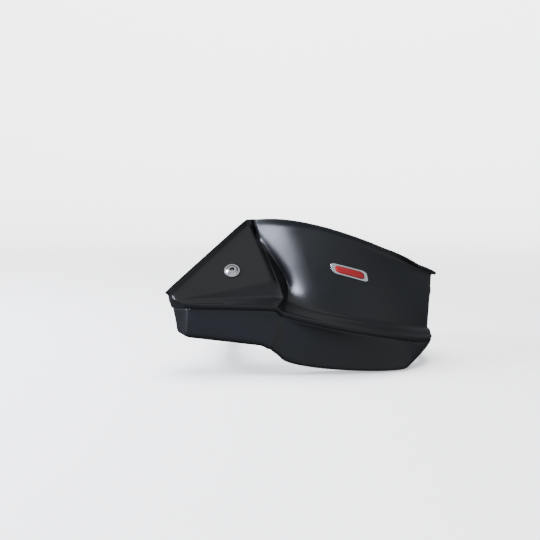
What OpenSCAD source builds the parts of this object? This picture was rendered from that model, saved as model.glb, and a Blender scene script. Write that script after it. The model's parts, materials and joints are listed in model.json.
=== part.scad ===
// Left-hand motorcycle hand guard: a thin moulded shell on a bracket from a bar
// clamp at its inboard end and on a flat stay from the bar end at its outboard end.
// The handlebar runs along X through the origin, the rider sits at +Y, Z is up.

/* [Moulded shell] */
// Wall thickness of the shell
wall = 3; // [2.6:0.1:3.6]
// Thickness of the turned-out lip at its free edge
lip_edge = 2; // [1.4:0.1:2.6]
// Width of the turned-out lip
lip_width = 5; // [3:0.5:7]
// Height of the bead under the ledge
bead_height = 2.6; // [1.8:0.1:3.2]
// How far the face under the bead is set back from it
bead_recess = 2.6; // [1:0.1:3.2]
// Depth of the hem that turns in under the shell
hem_depth = 12; // [8:0.5:15]
// Radius along the bottom edge, where the face turns into the hem
hem_radius = 4; // [2.5:0.5:5]
// Radius of the inboard front corner
inboard_radius = 7; // [5:0.5:9]
// Length of the curve round the outboard corner, behind the bend
outboard_radius = 11; // [8:0.5:14]
// Radius at the root of the lip
lip_root_radius = 2; // [1:0.25:3]
// Radius along the crease above the ledge
crease_radius = 2; // [1:0.25:3]
// Width of the sharp crest between the facet and the panel
crest_width = 1; // [0.8:0.1:1.6]
// How far the valley beside the crest bows outboard and back
valley_bow = 5; // [3:0.5:7]
// How far the valley's low end lies back from the crease
valley_sink = 3; // [0:0.5:5]
// How far the panel bulges forward at half its height
panel_bulge = 1.6; // [0:0.2:3]

/* [Facet] */
// Angle by which the flat facet leans back from upright, in degrees
facet_lean = 42; // [40:0.5:44]
// Distance from the handlebar axis forward to the facet, at the height of its bolt
facet_reach = 70; // [68:0.5:74]
// Height of the facet's bolt above the handlebar axis
bolt_height = 40; // [38:0.5:43]
// Side and height of the facet's low inboard corner
facet_corner = [-51.5, 22]; // [-60:0.5:30]
// Side and height of the facet's peak
facet_peak = [15, 79.2]; // [10:0.5:85]
// Side and height of the facet's lower fold beside the crest
fold_peak = [32.5, 32]; // [20:0.5:40]
// Side and height of the crease's corner, below the facet's low corner
crease_corner = [-48.5, 18.4]; // [-60:0.5:30]
// Share of the panel's height at which its rows meet the fold
fold_level = 0.22; // [0.18:0.01:0.28]

/* [Edge lines of the shell] */
// Stations on each line: side rear, inboard corner, groove foot, crest, valley,
// first and second curve handle, shoulder, outboard bend, end wall rear.
// Each is side, distance behind the facet's bolt and height. From the second curve
// handle on, the side is measured from the bar's end.
// Top line behind the peak: side rear, then from the valley on
top_side = [-56, 0, 19.5]; // [-60:0.5:200]
// Top line from the valley to the end wall
top_run = [[22.5, 29, 79.4], [66, -9, 84.3], [-35, -25.5, 61.6],
    [14.7, 2, 42.3], [37.5, 13, 34.2], [39, 38, 31.7]]; // [-120:0.5:200]
// Crease between the panel and the ledge, at its side rear
crease_side = [-55.5, 0, 14.5]; // [-60:0.5:200]
// Crease at the groove foot and the crest
crease_foot = [[37.5, -12.5, 18.8], [42.7, -23.4, 19]]; // [-120:0.5:200]
// Crease from the valley to the end wall
crease_run = [[47, -20.5, 16.4], [81, -35, 3.7], [-21.6, -34.5, -0.9],
    [12, -10, -11.2], [32, 3.5, -16.2], [33, 38, -17]]; // [-120:0.5:200]
// Bead at the front of the ledge, side rear to crest
bead_start = [[-54, -2, 11.5], [-39, -24, 15.3], [23, -28.2, 14], [36, -29, 13.3]]; // [-120:0.5:200]
// Bead from the valley to the end wall
bead_run = [[42, -29.5, 8.3], [81, -41.5, -2.4], [-21.6, -41, -7.4],
    [13, -16, -18.7], [35.5, -0.5, -23], [37, 38, -25.5]]; // [-120:0.5:200]
// Belly line half way down the lower face, side rear to crest
belly_start = [[-50, -2, -2], [-37.5, -23.2, 0], [25, -27, -3.5], [36.5, -28, -5]]; // [-120:0.5:200]
// Belly line from the valley to the end wall
belly_run = [[43, -28, -7], [74, -31, -21], [-14, -34, -34.5],
    [10, -17.5, -31.5], [34, -1.2, -26.4], [35, 38, -29.2]]; // [-120:0.5:200]
// Hem line along the bottom, side rear to crest
hem_start = [[-48.5, -2, -15], [-39.5, -22.5, -14.8], [24, -26.6, -21], [30, -27.2, -23.9]]; // [-120:0.5:200]
// Hem line from the valley to the end wall
hem_run = [[40, -28, -31.2], [43, -28.6, -43.4], [-8, -28, -48.6],
    [3.3, -20, -46.2], [30.5, -2, -31.8], [31.5, 38, -34.5]]; // [-120:0.5:200]

/* [Badge] */
// Where the badge starts and ends along the panel, as shares of the panel's run
badge_span = [0.405, 0.635]; // [0.3:0.005:0.8]
// Height of the badge's middle at both ends, as shares of the panel's height
badge_level = [0.57, 0.575]; // [0.3:0.01:0.7]
// Height of the badge
badge_height = 9.5; // [8:0.5:14]
// Depth of the pocket that the badge sits in
badge_pocket = 0.8; // [0.5:0.1:1.2]
// How far the badge's rim stands proud of the panel
badge_proud = 1; // [0.6:0.1:1.5]
// How far the inlay domes above the badge's rim
inlay_dome = 0.7; // [0.4:0.1:1.2]
// Width of the bare rim round the inlay
badge_rim = 1.6; // [1:0.1:2.5]

/* [Front fastening] */
// Thread diameter of the front bolt
front_thread = 6; // [5:0.5:6]
// Flange diameter of the front bolt
front_flange = 13.6; // [12:0.2:15]
// Outer diameter of the steel collar that the bolt clamps
collar_d = 9; // [8:0.5:10]
// Thickness of the rubber washer behind the shell
rubber_t = 3; // [2:0.5:4]
// Outer diameter of the rubber washer
rubber_d = 22; // [18:1:26]
// Thickness of the steel inner bracket
strip_t = 4; // [3:0.5:5]
// Width of the inner bracket
strip_w = 26; // [22:1:30]
// Inside radius of the bracket's bends
strip_bend = 5; // [3:0.5:7]
// Length of the bracket's tab above and below the bolt
tab_reach = [15, 13]; // [12:0.5:18]
// Height of the bracket's foot above the handlebar axis
foot_top = 12; // [11:0.5:14]
// Gap between the washer of the bracket's bolt and the bracket's lower bend
bend_gap = 8; // [2:0.5:12]

/* [Bar clamp] */
// Diameter of the handlebar
bar_d = 22.2; // [22.2, 25.4]
// Width of the clamp along the handlebar
clamp_w = 22; // [18:1:26]
// Wall of the clamp round the handlebar
clamp_wall = 6; // [5:0.5:8]
// Gap between the two halves of the clamp
clamp_gap = 1; // [0.5:0.1:2]
// Height of the clamp bolts above and below the handlebar axis
clamp_bolt_z = 17; // [17:0.5:19]
// Distance from the handlebar axis forward to the clamp's flat front
clamp_front_y = 26; // [24:0.5:28]
// Thread diameter of the clamp bolts
clamp_thread = 6; // [5:0.5:6]
// Thread diameter of the bolt that holds the bracket to the clamp
bracket_thread = 8; // [6:0.5:8]

/* [Bar end] */
// Distance along the handlebar from the clamp to the bar's end
bar_end_x = 150; // [146:0.5:152]
// Length of the bar-end weight
weight_l = 22; // [18:0.5:24]
// Diameter of the bar-end weight
weight_d = 30; // [26:0.5:34]
// Thickness of the flat stay
stay_t = 4; // [3:0.5:4]
// Radius of the stay round the bar-end bolt
stay_eye = 14; // [12:0.5:16]
// Radius of the stay round each screw
stay_pad = 8; // [7:0.5:9]
// Distance from the facet's bolt back to the two stay screws
stay_screw_back = 24; // [22:0.5:26]
// Heights of the two stay screws
stay_screw_z = [18, -5]; // [-8:0.5:22]
// Thread diameter of the stay screws
stay_thread = 6; // [5:0.5:6]
// Outer diameter of the bosses inside the end wall
boss_d = 15; // [14:0.5:16]
// Thread diameter of the bar-end bolt
end_thread = 8; // [6:0.5:8]
// Diameter of the rubber expander inside the handlebar
expander_d = 16; // [15:0.5:17]
// Length of the rubber expander
expander_l = 30; // [24:1:34]
// Length of the cone that spreads the expander
cone_l = 9; // [7:0.5:11]

/* [Hidden] */

// Play of a plain hole round a fastener
hole_play = 0.6;
// Facets of small round parts
round_fn = 20;
// Facets of the larger round parts
bar_fn = 40;
// Thickness of the steel washers
washer_t = 1.6;
up = [0, 0, 1];
// Step from the facet's peak to the top of the crest
peak_step = [3.5, 0.4];
facet_normal = [0, -cos(facet_lean), sin(facet_lean)];
facet_up = [0, sin(facet_lean), cos(facet_lean)];

// Small vector tools
function mix(a, b, t) = a + (b - a) * t;
function unit(v) = v / norm(v);
function curve3(a, b, c, t) = mix(mix(a, b, t), mix(b, c, t), t);
function curve4(c, t) =
    mix(curve3(c[0], c[1], c[2], t), curve3(c[1], c[2], c[3], t), t);
function hump(t) = 4 * t * (1 - t);
function clamp01(t) = min(1, max(0, t));

// A point on the facet's plane, given its side and height
function on_facet(p, off = 0) =
    [p[0], -facet_reach + (p[1] - bolt_height) * tan(facet_lean), p[1]] + facet_normal * off;
bolt_seat = on_facet([0, bolt_height]);

// The five edge lines, from the top down
TOP = 0;
CREASE = 1;
BEAD = 2;
BELLY = 3;
HEM = 4;
function placed(run) = [for (p = run) p - [0, facet_reach, 0]];
function stretched(run) = placed([for (i = [0:len(run) - 1]) run[i] + [i > 1 ? bar_end_x : 0, 0, 0]]);
facet_top = [for (p = [facet_corner, facet_peak, facet_peak + peak_step]) on_facet(p)];
lines = [
    concat(placed([top_side]), facet_top, stretched(top_run)),
    concat(placed([crease_side]), [on_facet(crease_corner)], placed(crease_foot), stretched(crease_run)),
    concat(placed(bead_start), stretched(bead_run)),
    concat(placed(belly_start), stretched(belly_run)),
    concat(placed(hem_start), stretched(hem_run))
];

// Columns of the shell: one entry per column, as stretch and position along it
SIDE = 0;
TURN = 1;
FACET = 2;
GROOVE = 3;
TIP = 4;
WALL = 5;
MAIN = 6;
BEND = 7;
END = 8;
column_counts = [2, 4, 7, 4, 1, 3, 24, 6, 3];
columns = concat(
    [for (s = [SIDE:END]) for (i = [0:column_counts[s] - 1]) [s, i / column_counts[s]]],
    [[END, 1]]);
last_column = len(columns) - 1;

function crest_step(line) = [1, 0.2, 0] * crest_width * (line == TOP ? 0.2 : 1);
function edge_point(line, s, t) =
    let (e = lines[line],
         turn_in = e[1] + unit(e[0] - e[1]) * inboard_radius,
         turn_out = e[1] + unit(e[2] - e[1]) * inboard_radius,
         bend_out = e[8] + unit(e[9] - e[8]) * outboard_radius)
    s == SIDE ? mix(e[0], turn_in, t)
    : s == TURN ? curve3(turn_in, e[1], turn_out, t)
    : s == FACET ? mix(turn_out, e[2], t)
    : s == GROOVE ? mix(e[2], e[3], t)
    : s == TIP ? e[3] + crest_step(line) * t
    : s == WALL ? mix(e[3] + crest_step(line), e[4], t)
    : s == MAIN ? curve4([e[4], e[5], e[6], e[7]], t)
    : s == BEND ? curve3(e[7], e[8], bend_out, t)
    : mix(bend_out, e[9], t);

// How the crest bows out between its ends, and how far the groove beside it dips
crest_bow = [1.6, -1, 0.4];
groove_dip = 1;
// Middle of the facet's lower fold, from its corner
fold_bow = [25, 1];
// Three lines that climb from the crease to the top between the facet and the panel
fold_start = mix(edge_point(CREASE, FACET, 0), edge_point(TOP, FACET, 0), fold_level);
fold_corner = on_facet([fold_start[0], fold_start[2]]);
fold_middle = on_facet([facet_corner[0], fold_corner[2]] + fold_bow);
fold_foot = on_facet(fold_peak);
function above_fold(level) = (level - fold_level) / (1 - fold_level);
function foot_line(level) =
    level < fold_level ? mix(lines[CREASE][2], fold_foot, level / fold_level)
    : mix(fold_foot, lines[TOP][2], above_fold(level));
function crest_line(level) =
    mix(lines[CREASE][3], lines[TOP][3], level) + crest_bow * hump(level) * (1 - level / 2);
function valley_offset(level) =
    [1, 0.7, 0.2] * valley_bow * 3 * hump(level) * pow(1 - level, 2) + [0, valley_sink * (1 - level), 0];
function valley_line(level) = mix(lines[CREASE][4], lines[TOP][4], level) + valley_offset(level);

// A point of the panel: level 0 is the crease, 1 the top; plain leaves out the crest
function panel_point(s, t, level, plain) =
    let (low = edge_point(CREASE, s, t), high = edge_point(TOP, s, t))
    s <= TURN ? mix(low, high, level)
    : s == FACET ? facet_point(low, high, curve3(fold_corner, fold_middle, fold_foot, t), level)
    : s <= WALL ? ridge_point(s, t, foot_line(level), crest_line(level), valley_line(level), level, plain)
    : s == MAIN ? mix(low, high, level)
        + valley_offset(level) * pow(1 - t, 6)
        + [0, -1, 0.2] * panel_bulge * hump(level) * clamp01(4 * t)
    : mix(low, high, level) + [0, -1, 0.2] * panel_bulge * hump(level) * (s == BEND ? 1 - t : 0);
function facet_point(low, high, fold, level) =
    level < fold_level ? mix(low, fold, level / fold_level) : mix(fold, high, above_fold(level));
function ridge_point(s, t, foot, crest, valley, level, plain) =
    let (step = [1, 0.2, 0] * crest_width * (1 - 0.8 * level),
         reach = mix(foot, crest, 0.72),
         dip = reach - facet_normal * ((reach - foot) * facet_normal + groove_dip * (1 - level)),
         span = s == GROOVE ? t / 2 : s == TIP ? 0.5 : 0.5 + t / 2)
    plain ? curve3(foot, mix(foot, valley, 0.5) - facet_normal * groove_dip / 2, valley, span)
    : s == GROOVE ? curve3(foot, dip, crest, t)
    : s == TIP ? crest + step * t
    : mix(crest + step, valley, t);

// The lip turns out from the top line
facet_edge = unit(lines[TOP][2] - lines[TOP][1]);
lip_on_side = unit([-0.9, 0, 0.43]);
lip_on_facet = unit(cross(facet_normal, facet_edge) * 0.75 + facet_normal * 0.65);
lip_on_peak = unit([-0.05, -0.05, 1]);
lip_on_panel = unit([0.03, -0.42, 0.9]);
lip_on_tip = unit([0.85, -0.35, 0.3]);
lip_on_end = unit([0.97, 0, 0.2]);
function lip_way(s, t) = unit(
    s == SIDE ? lip_on_side
    : s == TURN ? mix(lip_on_side, lip_on_facet, t)
    : s == FACET ? mix(lip_on_facet, lip_on_peak, pow(clamp01((t - 0.8) / 0.2), 2))
    : s <= WALL ? lip_on_peak
    : s == MAIN && t < 0.8 ? mix(lip_on_peak, lip_on_panel, clamp01(t / 0.35))
    : s == MAIN ? mix(lip_on_panel, lip_on_tip, (t - 0.8) / 0.2)
    : s == BEND ? mix(lip_on_tip, lip_on_end, t)
    : lip_on_end);
function lip_share(s, t) = s == SIDE ? 0.6 + 0.3 * t : s == TURN ? 0.9 + 0.1 * t : s == END ? 1 - 0.2 * t : 1;

// Level direction straight out from an edge line at a column
function out_from(line, k) =
    let (s = columns[k][0], a = columns[max(0, k - 1)], b = columns[min(last_column, k + 1)],
         d = s >= GROOVE && s <= WALL ? lines[line][4] - lines[line][2]
             : edge_point(line, b[0], b[1]) - edge_point(line, a[0], a[1]))
    cross(unit([d[0], d[1], 0]), up);

// Turns each corner that has a radius into a short curve
function soften(p, r, n) = [
    for (i = [0:len(p) - 1])
        each r[i] == 0 ? [p[i]] : [
            for (j = [0:n])
                curve3(p[i] + unit(p[i - 1] - p[i]) * min(r[i], norm(p[i - 1] - p[i]) * 0.45), p[i],
                       p[i] + unit(p[i + 1] - p[i]) * min(r[i], norm(p[i + 1] - p[i]) * 0.45), j / n)]];

// How much the hem's free edge lies above its outer edge
hem_rise = 1;
// Width at which the ledge and the face below the bead are at their full shape
full_ledge = 8;
// The shallow groove behind the bead: distances back from the bead, and its depth and the bead's rise
groove_back = 3;
bead_back = 1.2;
groove_depth = 0.6;
bead_rise = 0.3;
// The bead's face, and the height of the recess below it
bead_face = 0.6;
recess_height = 1.8;

// Levels of the panel's rows between its top and its crease
panel_steps = 6;
panel_levels = [for (i = [1:panel_steps - 1]) mix(1, fold_level, i / panel_steps)];
inner_levels = [mix(1, fold_level, 1 / 3), mix(1, fold_level, 2 / 3), fold_level];

// Outer section at a column, from the lip's edge down to the hem's edge
function outer_section(k) =
    let (s = columns[k][0], t = columns[k][1],
         top = panel_point(s, t, 1, false),
         crease = panel_point(s, t, 0, false),
         bead = edge_point(BEAD, s, t),
         hem = edge_point(HEM, s, t),
         out = out_from(BEAD, k),
         under = out_from(HEM, k),
         slope = unit(bead - crease),
         ledge = clamp01(norm(bead - crease) / full_ledge),
         groove = ledge * (s == SIDE ? 0 : s == TURN ? t * t : 1),
         belly = edge_point(BELLY, s, t),
         fade = clamp01((bead[2] - belly[2]) / full_ledge),
         face = bead - up * (bead_height + recess_height) * fade - out * bead_recess * 0.9,
         swell = belly * 2 - (face + hem) / 2)
    soften(concat(
        [top + lip_way(s, t) * lip_width * lip_share(s, t), top],
        [for (v = panel_levels) panel_point(s, t, v, false)],
        [panel_point(s, t, fold_level, false), crease,
         bead - slope * groove_back * ledge - up * groove_depth * groove,
         bead - slope * bead_back * ledge + up * bead_rise * groove,
         bead,
         bead - up * bead_height * fade * 0.55 - out * bead_face,
         bead - up * bead_height * fade - out * bead_recess,
         face,
         curve3(face, swell, hem, 0.25),
         belly,
         curve3(face, swell, hem, 0.75),
         hem,
         hem - under * hem_depth + up * hem_rise]),
        concat([0, lip_root_radius], [for (v = panel_levels) 0],
               [0, crease_radius, 0, 0, 0, 0, 0, 0, 0, 0, 0, hem_radius, 0]), 2);
// The inner row that belongs to each outer row
outer_owner = concat([0, 1, 1, 1], [for (i = [1:panel_steps - 1]) 1 + floor(i * 3 / panel_steps + 0.01)],
    [4, 5, 5, 5, 5, 6, 6, 6, 6, 6, 6, 7, 7, 8, 8, 8, 9]);

// Plain section, without crest, bead or small radii; the inner face is set back from it
function plain_section(k) =
    let (s = columns[k][0], t = columns[k][1],
         top = panel_point(s, t, 1, true),
         bead = edge_point(BEAD, s, t),
         hem = edge_point(HEM, s, t))
    concat(
        [top + lip_way(s, t) * lip_width * lip_share(s, t), top],
        [for (v = inner_levels) panel_point(s, t, v, true)],
        [panel_point(s, t, 0, true),
         bead - up * bead_face,
         edge_point(BELLY, s, t),
         hem,
         hem - out_from(HEM, k) * hem_depth + up * hem_rise]);

outer_rows = [for (k = [0:last_column]) outer_section(k)];
plain_rows = [for (k = [0:last_column]) plain_section(k)];
outer_count = len(outer_rows[0]);
inner_count = len(plain_rows[0]);

// Normal of the plain face between rows j and j + 1 at column k
function plain_normal(k, j) =
    let (a = plain_rows[max(0, k - 1)], b = plain_rows[min(last_column, k + 1)],
         along = (b[j] + b[j + 1]) - (a[j] + a[j + 1]),
         down = plain_rows[k][j + 1] - plain_rows[k][j])
    unit(cross(down, along));
// Sets a plain point back by the wall, square to both faces that meet there
function set_back(k, j) =
    let (n1 = plain_normal(k, max(0, j - 1)), n2 = plain_normal(k, min(inner_count - 2, j)),
         m = (n1 + n2) / (1 + n1 * n2))
    plain_rows[k][j] - m * (j == 0 ? lip_edge : wall);
inner_rows = [for (k = [0:last_column]) [for (j = [0:inner_count - 1]) set_back(k, j)]];

// Faces of the shell: outer skin, inner skin, both long rims and both short ends
function at_outer(k, j) = k * outer_count + j;
function at_inner(k, j) = (last_column + 1) * outer_count + k * inner_count + j;
function pair(a, b, c, d) = [[a, b, c], [a, c, d]];
function end_cap(k, flip) = [
    for (j = [0:outer_count - 2])
        let (near = outer_owner[j], far = outer_owner[j + 1],
             first = [at_inner(k, near), at_outer(k, j), at_outer(k, j + 1)],
             second = [at_inner(k, near), at_outer(k, j + 1), at_inner(k, far)])
        each concat([flip ? [first[0], first[2], first[1]] : first],
                    near == far ? [] : [flip ? [second[0], second[2], second[1]] : second])];
shell_faces = concat(
    [for (k = [0:last_column - 1]) for (j = [0:outer_count - 2])
        each pair(at_outer(k, j), at_outer(k + 1, j), at_outer(k + 1, j + 1), at_outer(k, j + 1))],
    [for (k = [0:last_column - 1]) for (j = [0:inner_count - 2])
        each pair(at_inner(k, j), at_inner(k, j + 1), at_inner(k + 1, j + 1), at_inner(k + 1, j))],
    [for (k = [0:last_column - 1])
        each pair(at_outer(k, 0), at_inner(k, 0), at_inner(k + 1, 0), at_outer(k + 1, 0))],
    [for (k = [0:last_column - 1])
        each pair(at_outer(k, outer_count - 1), at_outer(k + 1, outer_count - 1),
                  at_inner(k + 1, inner_count - 1), at_inner(k, inner_count - 1))],
    end_cap(0, false), end_cap(last_column, true));

module skin() {
    points = concat([for (r = outer_rows) each r], [for (r = inner_rows) each r]);
    polyhedron(points, shell_faces, convexity = 10);
}

// Places children on the axis of the front bolt, with Z out of the facet
module on_front_bolt(depth = 0) {
    translate(bolt_seat) rotate([90 - facet_lean, 0, 0]) translate([0, 0, -depth]) children();
}

// Side of the end wall's outer face at a height, and the stay's two faces
function end_wall_x(z) =
    let (low = lines[CREASE][9], high = lines[TOP][9])
    mix(low[0], high[0], (z - low[2]) / (high[2] - low[2]));
stay_back_x = bar_end_x + weight_l;
stay_x = stay_back_x + stay_t;
boss_x = [for (z = stay_screw_z) end_wall_x(z - boss_d / 2)];
// The screw heads sit this far below the end wall's face
screw_sink = 2.5;
seat_x = [for (x = boss_x) x - screw_sink];
stay_screw_y = facet_reach - stay_screw_back;

// Places children on the axis of a stay screw, with Z outboard
module on_stay_screw(i, x) {
    translate([x, -stay_screw_y, stay_screw_z[i]]) rotate([0, 90, 0]) children();
}

module guard_shell() {
    color("#1d1e20")
    difference() {
        union() {
            skin();
            for (i = [0, 1])
                on_stay_screw(i, stay_x)
                    cylinder(d = boss_d, h = boss_x[i] - wall / 3 - stay_x, $fn = round_fn);
        }
        on_front_bolt(2 * wall) cylinder(d = collar_d, h = 4 * wall, $fn = round_fn);
        for (i = [0, 1]) {
            on_stay_screw(i, stay_x - wall)
                cylinder(d = collar_d, h = seat_x[i] - stay_x + 2 * wall, $fn = round_fn);
            on_stay_screw(i, seat_x[i])
                cylinder(d = screw_pocket_d, h = 4 * screw_sink, $fn = round_fn);
        }
        badge_body(-badge_pocket, badge_proud, 0);
    }
}

// Badge: a thin parallelogram plate that follows the panel's curve
badge_columns = 12;
// Level of the inlay's underside above the panel
inlay_floor = badge_proud - inlay_dome;
function badge_point(i, along = 0, rise = 0) =
    let (t = mix(badge_span[0], badge_span[1], i), level = mix(badge_level[0], badge_level[1], i))
    panel_point(MAIN, t + along, level + rise, false);
function badge_rise(i) = unit(badge_point(i, 0, 0.05) - badge_point(i, 0, -0.05));
function badge_out(i) = unit(cross(badge_point(i, 0.02) - badge_point(i, -0.02), badge_rise(i)));
// Share of the full height at position i, so that both ends are rounded
function badge_share(i) =
    let (e = min(i, 1 - i) * 2, f = clamp01(e / 0.22))
    0.55 + 0.45 * sqrt(1 - pow(1 - f, 2));
function badge_stations(inset) =
    let (first = inset / norm(badge_point(1) - badge_point(0)))
    [for (i = [0:badge_columns]) mix(first, 1 - first, i / badge_columns)];
function badge_ring(i, low, high, inset) =
    let (m = badge_point(i), o = badge_out(i), r = badge_rise(i),
         h = (badge_height / 2 - inset) * badge_share(i))
    [m + o * low - r * h, m + o * low + r * h, m + o * high + r * h, m + o * high - r * h];

module ring_loft(rings) {
    n = len(rings[0]);
    m = len(rings) - 1;
    polyhedron([for (r = rings) each r],
        concat([[for (j = [0:n - 1]) j]],
               [for (i = [0:m - 1]) for (j = [0:n - 1])
                   each pair(i * n + j, (i + 1) * n + j, (i + 1) * n + (j + 1) % n, i * n + (j + 1) % n)],
               [[for (j = [n - 1:-1:0]) m * n + j]]), convexity = 4);
}

module badge_body(low, high, inset) {
    ring_loft([for (i = badge_stations(inset)) badge_ring(i, low, high, inset)]);
}

// Domed section of the inlay: two low corners, two edges and a crown of three points
function inlay_ring(i) =
    let (m = badge_point(i), o = badge_out(i), r = badge_rise(i),
         h = (badge_height / 2 - badge_rim) * badge_share(i),
         dome = badge_proud + inlay_dome * (0.35 + 0.65 * sqrt(hump(i))),
         shoulder = mix(badge_proud, dome, 0.8))
    [m + o * inlay_floor - r * h, m + o * inlay_floor + r * h, m + o * badge_proud + r * h,
     m + o * shoulder + r * h * 0.6, m + o * dome,
     m + o * shoulder - r * h * 0.6, m + o * badge_proud - r * h];

module badge_plate() {
    color("#b9bcc0")
    difference() {
        badge_body(-badge_pocket, badge_proud, 0);
        badge_body(inlay_floor, 2 * badge_proud, badge_rim);
    }
}

module badge_inlay() {
    color("#a01c20")
    ring_loft([for (i = badge_stations(badge_rim)) inlay_ring(i)]);
}

// Proportions of the fasteners to their thread diameter
button_head = 1.75;
button_rim = 0.1;
button_dome = 0.45;
button_flange = 0.2;
button_socket = 0.77;
button_socket_floor = 0.22;
cap_head = 1.65;
cap_socket = 0.96;
cap_socket_floor = 0.5;
hex_across = 1.85;
hex_head_h = 0.65;
nut_h = 0.75;
nut_collar = 1.45;
washer_across = 2;

// Fasteners, drawn with Z out of the head and the seat at zero
module shank(d, l) {
    translate([0, 0, -l]) cylinder(d = d, h = l + 0.1, $fn = round_fn);
}
module hex_socket(d, floor_z) {
    translate([0, 0, floor_z]) cylinder(d = d, h = d * 2, $fn = 6);
}
module button_screw(d, flange_d, shank_l) {
    difference() {
        union() {
            if (flange_d > 0) cylinder(d = flange_d, h = d * button_flange, $fn = round_fn);
            rotate_extrude($fn = round_fn) button_profile(d);
            shank(d, shank_l);
        }
        hex_socket(d * button_socket, d * button_socket_floor);
    }
}
module button_profile(d) {
    r = d * button_head / 2;
    arc = [for (a = [10:20:90]) [r * cos(a), d * (button_rim + button_dome * sin(a))]];
    polygon(concat([[0, 0], [r, 0]], arc));
}
module cap_screw(d, shank_l) {
    difference() {
        union() {
            cylinder(d = d * cap_head, h = d, $fn = round_fn);
            shank(d, shank_l);
        }
        hex_socket(d * cap_socket, d * cap_socket_floor);
    }
}
module hex_bolt(d, shank_l) {
    intersection() {
        cylinder(d = d * hex_across, h = d * hex_head_h, $fn = 6);
        cylinder(d1 = d * hex_across, d2 = d * (hex_across - 0.25), h = d * hex_head_h, $fn = round_fn);
    }
    shank(d, shank_l);
}
module plain_washer(d) {
    ring(d * washer_across, d + hole_play, washer_t);
}
module ring(outer_d, inner_d, h) {
    difference() {
        cylinder(d = outer_d, h = h, $fn = round_fn);
        translate([0, 0, -1]) cylinder(d = inner_d, h = h + 2, $fn = round_fn);
    }
}
module lock_nut(d) {
    difference() {
        union() {
            cylinder(d = d * hex_across, h = d * nut_h, $fn = 6);
            cylinder(d = d * nut_collar, h = d, $fn = round_fn);
        }
        translate([0, 0, -1]) cylinder(d = d, h = d + 2, $fn = round_fn);
    }
}

// Depths along the front bolt, measured in from the facet
rubber_z = wall + rubber_t;
tab_z = rubber_z + strip_t;
front_nut_z = tab_z + washer_t;
// Length of thread that shows past each lock nut
thread_end = 2;
front_shank = front_nut_z + front_thread + thread_end;

module front_bolt() {
    color("#d8dadc") on_front_bolt() button_screw(front_thread, front_flange, front_shank);
}

module front_collar() {
    color("#a9acb0") on_front_bolt(rubber_z) ring(collar_d, front_thread + hole_play / 2, rubber_z);
}

module rubber_washer() {
    color("#26272a") on_front_bolt(rubber_z) ring(rubber_d, collar_d, rubber_t);
}

module front_washer() {
    color("#c4c6c9") on_front_bolt(front_nut_z) plain_washer(front_thread);
}

module front_lock_nut() {
    color("#b4b6ba") on_front_bolt(front_nut_z) rotate([180, 0, 0]) lock_nut(front_thread);
}

// Inner bracket: a flat strip bent from a foot on the clamp to a tab behind the facet
strip_foot_y = -(clamp_front_y + strip_t / 2);
tab_middle = bolt_seat - facet_normal * (rubber_z + strip_t / 2);
function side_view(p) = [p[1], p[2]];
tab_low = side_view(tab_middle - facet_up * tab_reach[1]);
// Height of the lower bend's corner, so that the bend starts below the washer; each pass refines the last
bend_start = bracket_thread * washer_across / 2 + bend_gap;
function bend_z(z, passes) =
    let (d = unit(tab_low - [strip_foot_y, z]),
         run = (strip_bend + strip_t / 2) * tan(acos(-d[1]) / 2))
    passes == 0 ? z : bend_z(-bend_start - run, passes - 1);
strip_route = [
    [strip_foot_y, foot_top],
    [strip_foot_y, bend_z(-bend_start, 8)],
    tab_low,
    side_view(tab_middle + facet_up * tab_reach[0])];

// Offset of a bent centre line to one side, with arcs at the inner corners
function left_of(v) = [-v[1], v[0]];
function bend_arc(p, a, b, r, off, n) =
    let (d1 = unit(p - a), d2 = unit(b - p),
         turn = asin(d1[0] * d2[1] - d1[1] * d2[0]),
         angle = acos(d1 * d2), way = turn < 0 ? -1 : 1,
         run = r * tan(angle / 2),
         centre = p - d1 * run + left_of(d1) * way * r,
         start = atan2(-left_of(d1)[1] * way, -left_of(d1)[0] * way))
    [for (j = [0:n])
        let (a = start + way * angle * j / n)
        centre + (r - off * way) * [cos(a), sin(a)]];
function strip_side(route, r, off) =
    let (n = len(route) - 1,
         first = left_of(unit(route[1] - route[0])),
         last = left_of(unit(route[n] - route[n - 1])))
    concat([route[0] + first * off],
           [for (i = [1:n - 1]) each bend_arc(route[i], route[i - 1], route[i + 1], r, off, 8)],
           [route[n] + last * off]);
function reversed(p) = [for (i = [len(p) - 1:-1:0]) p[i]];

module bent_strip(route, r, t, w) {
    rotate([90, 0, 90]) translate([0, 0, -w / 2]) linear_extrude(w)
        polygon(concat(strip_side(route, r, t / 2), reversed(strip_side(route, r, -t / 2))));
}

module inner_bracket() {
    color("#2b2c2f")
    difference() {
        bent_strip(strip_route, strip_bend + strip_t / 2, strip_t, strip_w);
        on_front_bolt(tab_z + 1) cylinder(d = front_thread + hole_play, h = strip_t + 2, $fn = round_fn);
        on_bracket_bolt(-1) cylinder(d = bracket_thread + hole_play, h = strip_t + 2, $fn = round_fn);
    }
}

// Places children on the axis of the bracket bolt, with Z forward out of the clamp
module on_bracket_bolt(off) {
    translate([0, -clamp_front_y - off, 0]) rotate([90, 0, 0]) children();
}
bracket_grip = strip_t + washer_t;

module bracket_bolt() {
    color("#c9cbce")
    on_bracket_bolt(bracket_grip) hex_bolt(bracket_thread, bracket_grip + bracket_hole_l - 1);
}

module bracket_washer() {
    color("#c4c6c9") on_bracket_bolt(strip_t) plain_washer(bracket_thread);
}

// Bar clamp, split along the handlebar's axis
clamp_r = bar_d / 2 + clamp_wall;
lug_z = clamp_bolt_z + clamp_thread;
// Distance from the handlebar axis to the flat faces of the clamp's lugs
lug_y = 13;
// The bracket bolt's blind hole stops this far short of the handlebar
bracket_floor = 2;
bracket_hole_l = clamp_front_y - bar_d / 2 - bracket_floor;
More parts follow.
